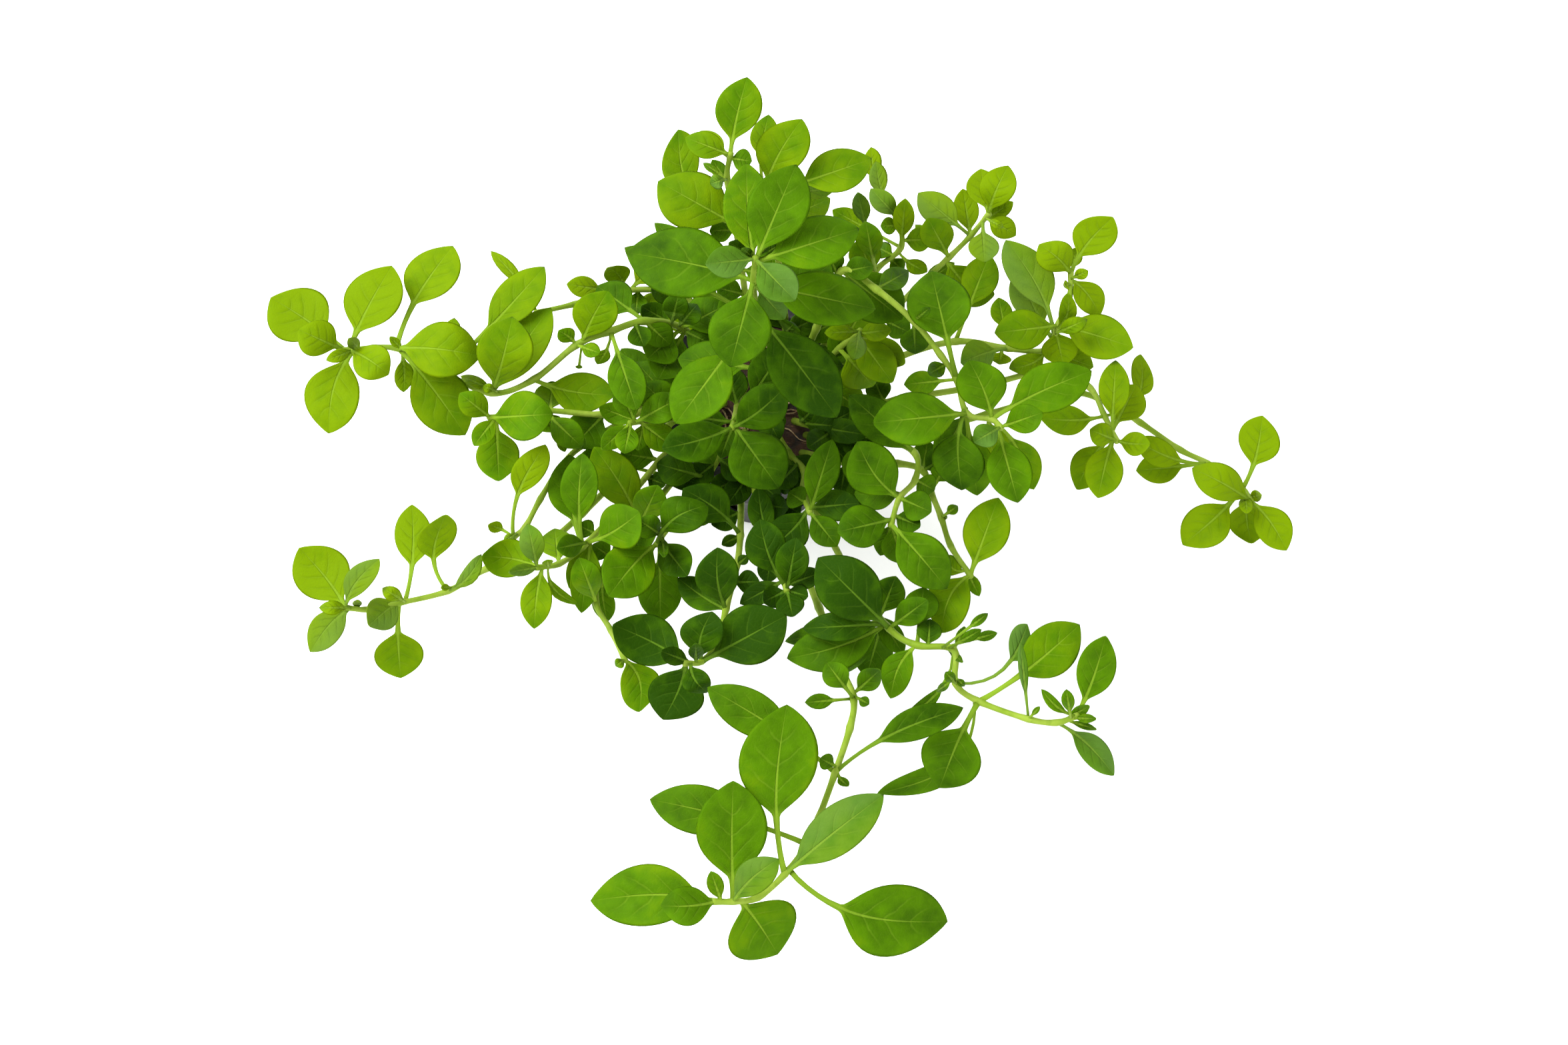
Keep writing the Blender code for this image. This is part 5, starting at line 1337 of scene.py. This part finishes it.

# The leaves' tones, from deep green, 0, to yellow-green, 1, for each shoot at its foot and at its end.
# They are partly the leaves' own colour and partly painted shade: the darker tones deep in the plant
# and at the shoots' feet stand for the shade the leaves cast on each other. The open shoots on the left
# and right are the brightest, and those at the front are the deepest. A few leaves are lighter or
# darker than those round them, and a few have a painted grey sheen of reflected light.
SHOOT_TONES_AND_SHADE = {
    "left_upper": (0.25, 1.0), "left_back": (0.85, 1.0), "left_mid": (0.45, 0.6), "left_side": (0.3, 0.65),
    "left_inner": (0.2, 0.5), "left_rosette": (0.2, 0.7), "left_low": (0.7, 1.0), "left_thin": (0.9, 0.9),
    "left_front": (0.0, 0.3), "front_left": (0.0, 0.08), "front_mid": (-0.15, -0.1), "front": (0.15, 0.5),
    "front_right": (0.15, 0.32), "inner": (0.02, 0.14), "inner_front": (0.0, 0.2), "inner_right": (0.6, 0.8),
    "crown": (0.22, 0.34), "crown_back": (0.4, 0.62), "back_right": (0.55, 0.7), "back_mid": (0.6, 0.8),
    "back_far": (0.5, 0.95), "right_mid": (0.25, 0.42), "right_upper": (0.5, 1.0), "right_low": (0.1, 0.6),
    "right_cluster": (0.5, 0.85), "right_far": (0.65, 1.05), "right_front": (0.1, 0.45),
}
BRIGHTER = {
    "left_upper": (1, 3, 17, 18, 22, 23), "left_low": (1, 9), "left_rosette": (7, 12), "left_thin": (1, 2),
    "left_side": (9,), "left_front": (2, 11), "left_mid": (5,), "crown_back": (3, 6, 7), "crown": (5, 11),
    "back_mid": (1, 3, 4), "back_far": (2, 3, 6, 7), "right_mid": (5, 9, 15), "right_low": (1, 2),
    "right_upper": (8, 9, 10, 15), "right_cluster": (6, 7), "right_front": (9, 22), "front": (5, 8),
    "left_back": (3, 4),
}
DARKER = {
    "left_side": (1, 6, 8), "left_inner": (3, 4), "left_upper": (10, 24, 25, 30), "left_rosette": (8, 9, 11),
    "left_low": (8,), "left_front": (1, 3), "front_left": (5, 6, 7, 8), "front_right": (8,),
    "right_front": (24, 25), "right_mid": (2, 3, 7, 8), "right_upper": (2,), "back_mid": (5, 10),
    "crown": (10, 13), "inner_front": (3, 4), "front": (2, 12), "right_low": (5, 6),
}
# Leaves with a painted grey sheen of reflected light.
PAINTED_SHEEN_LEAVES = {
    "left_low": (2, 4, 6, 10), "left_rosette": (2, 3), "left_thin": (3,),
    "crown": (1, 2, 8), "crown_back": (5,), "back_mid": (2, 3, 7), "back_right": (4,), "back_far": (5, 7),
    "right_upper": (6, 7, 13), "right_mid": (13,), "inner_right": (2,), "right_front": (2, 7, 12),
    "front": (5, 8),
}
TONE_STEP = 0.18
TONE_WANDER = 0.05
BRIGHTEST = 1.1


def tone_of(leaf):
    """The tone of a grown leaf, partly painted shade; leaves with a painted sheen count on from the sheen's
    mark.
    """
    foot, end = SHOOT_TONES_AND_SHADE[leaf.shoot]
    share = leaf.place / (len(SHOOTS[leaf.shoot]["route"]) - 1)
    tone = foot + (end - foot) * share + TONE_WANDER * math.sin(7.7 * leaf.order)
    if leaf.number in BRIGHTER.get(leaf.shoot, ()):
        tone += TONE_STEP
    if leaf.number in DARKER.get(leaf.shoot, ()):
        tone -= TONE_STEP
    tone = min(max(tone, 0.0), BRIGHTEST)
    return tone + (SHEEN_MARK if leaf.number in PAINTED_SHEEN_LEAVES.get(leaf.shoot, ()) else 0.0)


# Low leaves: small, short-stalked leaves of young side shoots, most of them in the joints above the
# plug and a few farther up. They take the tone of their shoot's foot, and those near the plug are
# darker with painted shade. Each row gives the way up the stem, the tip, the breadth and the stalk's share.
LOW_STEP = 1.4
SHADE_REACH = 60
FIRST_LOW_NUMBER = 101
LOW_LEAVES = {
    "back_mid": ((57, 46.5, 45.5, 82, 7.4, 0.1), (63, 32.5, 49.5, 84, 5.5, 0.1), (49, 38.5, 36, 76, 5, 0.1),
                 (50, 31, 43.5, 77, 5.5, 0.1)),
    "left_mid": ((48, -43, -42.5, 67, 6, 0.1),),
    "left_rosette": ((27, -24.5, -26, 62, 5.5, 0.1), (48, -47, -37, 69, 5.5, 0.1)),
    "right_front": ((84, 43.5, -62.5, 91, 6.5, 0.1),),
    "right_low": ((17, 21, -28.5, 60, 6.8, 0.1),),
    "crown": ((200, 2.2, 43.5, 139, 2.8, 0.15), (200, -5.2, 42.8, 138, 3.0, 0.15),
              (104, -8.5, 44.5, 132, 6.2, 0.2), (104, 6.2, 44.6, 133, 5.6, 0.2),
              (10, 5, -13.5, 68, 7.2, 0.1)),
    "back_right": ((12, 15, 22, 64, 7.2, 0.1), (14, 1.5, 27, 66, 7, 0.1), (13, 9, 20.5, 68, 7, 0.1)),
    "inner_right": ((30, 26, 7.5, 77, 7, 0.1), (26, 9, 6.5, 74, 7, 0.1), (30, 24.5, 19, 82, 7.2, 0.1)),
    "back_far": ((9, 12.5, 13, 63, 7.2, 0.1), (14, 28, 13.5, 62, 7.2, 0.1), (29, 40, 17.5, 64, 7.4, 0.1)),
    "right_cluster": ((8, 28.5, -2, 64, 7.2, 0.1), (9, 15, -1.5, 62, 7, 0.1), (22, 30, 4.5, 62, 7, 0.1)),
    "front_mid": ((17, -8.5, -31.5, 64, 7.2, 0.1), (18, 5, -30, 66, 7, 0.1), (27, 7.5, -32.5, 69, 7, 0.1),
                  (56, 1, -58, 80, 6.5, 0.1), (56, 12.5, -56.5, 79, 5.5, 0.1)),
    "crown_back": ((40, -12, 31, 87, 7.2, 0.1), (38, -11.5, 23.5, 82, 7.2, 0.1), (52, 4, 34, 95, 7, 0.1),
                   (68, -14, 48, 102, 7.2, 0.1), (98, -2.5, 69.5, 122, 7, 0.1)),
    "left_back": ((22, -29.5, 30.5, 63, 7.2, 0.1), (24, -25, 37, 64, 7, 0.1), (20, -13, 33, 62, 7.2, 0.1),
                  (35, -33.5, 23, 62, 6, 0.1)),
    "left_upper": ((26, -32, 25.5, 73, 7, 0.1), (24, -17, 26, 72, 7.2, 0.1), (27, -22, 29.5, 74, 7, 0.1),
                   (39, -31, 13.5, 76, 6.8, 0.1)),
    "right_mid": ((60, 30.5, 37.5, 106, 7.4, 0.1), (57, 18, 42, 104, 7, 0.1),
                  (102, 44.5, 5.5, 100, 5, 0.1)),
    "front_right": ((7, 21, -9.5, 74, 7.4, 0.1), (16, 24.5, -5, 68, 7.4, 0.1), (19, 12.5, -15.5, 67, 7, 0.1),
                    (24, 27.5, -17, 72, 7.2, 0.1), (34, 34, -5, 80, 7, 0.1), (13, 28.5, -12, 77, 7.4, 0.1),
                    (5, 14.5, -4, 68, 7.2, 0.1), (71, 41.5, -37.5, 88, 7.2, 0.1)),
    "right_far": ((10, 22.5, -19.5, 63, 7.2, 0.1), (18, 33, -9, 61, 7, 0.1)),
    "inner_front": ((11, -1.5, -16, 63, 7, 0.1), (16, 14, -23, 65, 7, 0.1), (8, 2, -5, 67, 7.4, 0.1),
                    (20, 4, -27, 69, 7, 0.1)),
    "left_front": ((11, -3.5, -24, 64, 7.2, 0.1), (13, -18, -25, 62, 7.2, 0.1)),
    "front_left": ((12, -13, -28, 61, 7, 0.1), (13, 4, -26.5, 61, 7, 0.1), (24, -12.5, -37, 62, 7, 0.1),
                   (48, 0, -52.5, 74, 6.5, 0.1)),
    "front": ((18, 10.5, -34, 64, 7, 0.1), (20, -2, -37, 64, 7, 0.1), (13, 9, -25, 66, 7, 0.1)),
}


def low_leaves(count):
    """The low leaves, which count on from the leaves that stand in the shoots' own rows."""
    leaves = []
    for name, rows in LOW_LEAVES.items():
        path = stem_path(name, LOW_STEP)[0]
        for number, row in enumerate(rows, FIRST_LOW_NUMBER):
            way_up, *rest = row
            root = path[min(round(way_up / LOW_STEP), len(path) - 1)]
            leaf = Leaf(name, number, count + len(leaves), root, (0, *rest))
            # Painted shade: a low leaf darkens towards the plug, within the shade of the shoots above it.
            leaf.tone = SHOOT_TONES_AND_SHADE[name][0] * min(1.0, way_up / SHADE_REACH)
            leaves.append(leaf)
    return leaves


# The shoots, put together: the grown leaves find their heights first, and the low leaves then settle
# between them. The leaves that are solids of their own stay pieces of their own, and all others are
# joined with their stem.


def leaf_mesh(name, leaves, stem=None):
    bm = bmesh.new()
    bm.verts.layers.float_vector.new("blade_place")
    bm.verts.layers.float.new("leaf_tone")
    for leaf in leaves:
        add_leaf(bm, leaf)
    if stem:
        add_stem(bm, stem)
    return finished(bm, name)


leaves = all_leaves()
settle(leaves)
for leaf in leaves:
    leaf.tone = tone_of(leaf)
leaves += low_leaves(len(leaves))
settle(leaves)
for shoot_name in SHOOTS:
    joined = []
    for leaf in leaves:
        if leaf.shoot != shoot_name:
            continue
        if leaf.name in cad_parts:
            single = new_piece("blade_" + leaf.name, leaf_mesh(leaf.name, [leaf]), [leaf_upper, leaf_under])
            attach(single, "root")
            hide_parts(leaf.name)
        else:
            joined.append(leaf)
    shoot = new_piece("stem_and_leaves_" + shoot_name, leaf_mesh(shoot_name, joined, shoot_name),
                      [leaf_upper, leaf_under, stem_finish.material])
    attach(shoot, "root")
    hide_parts("shoot_" + shoot_name)
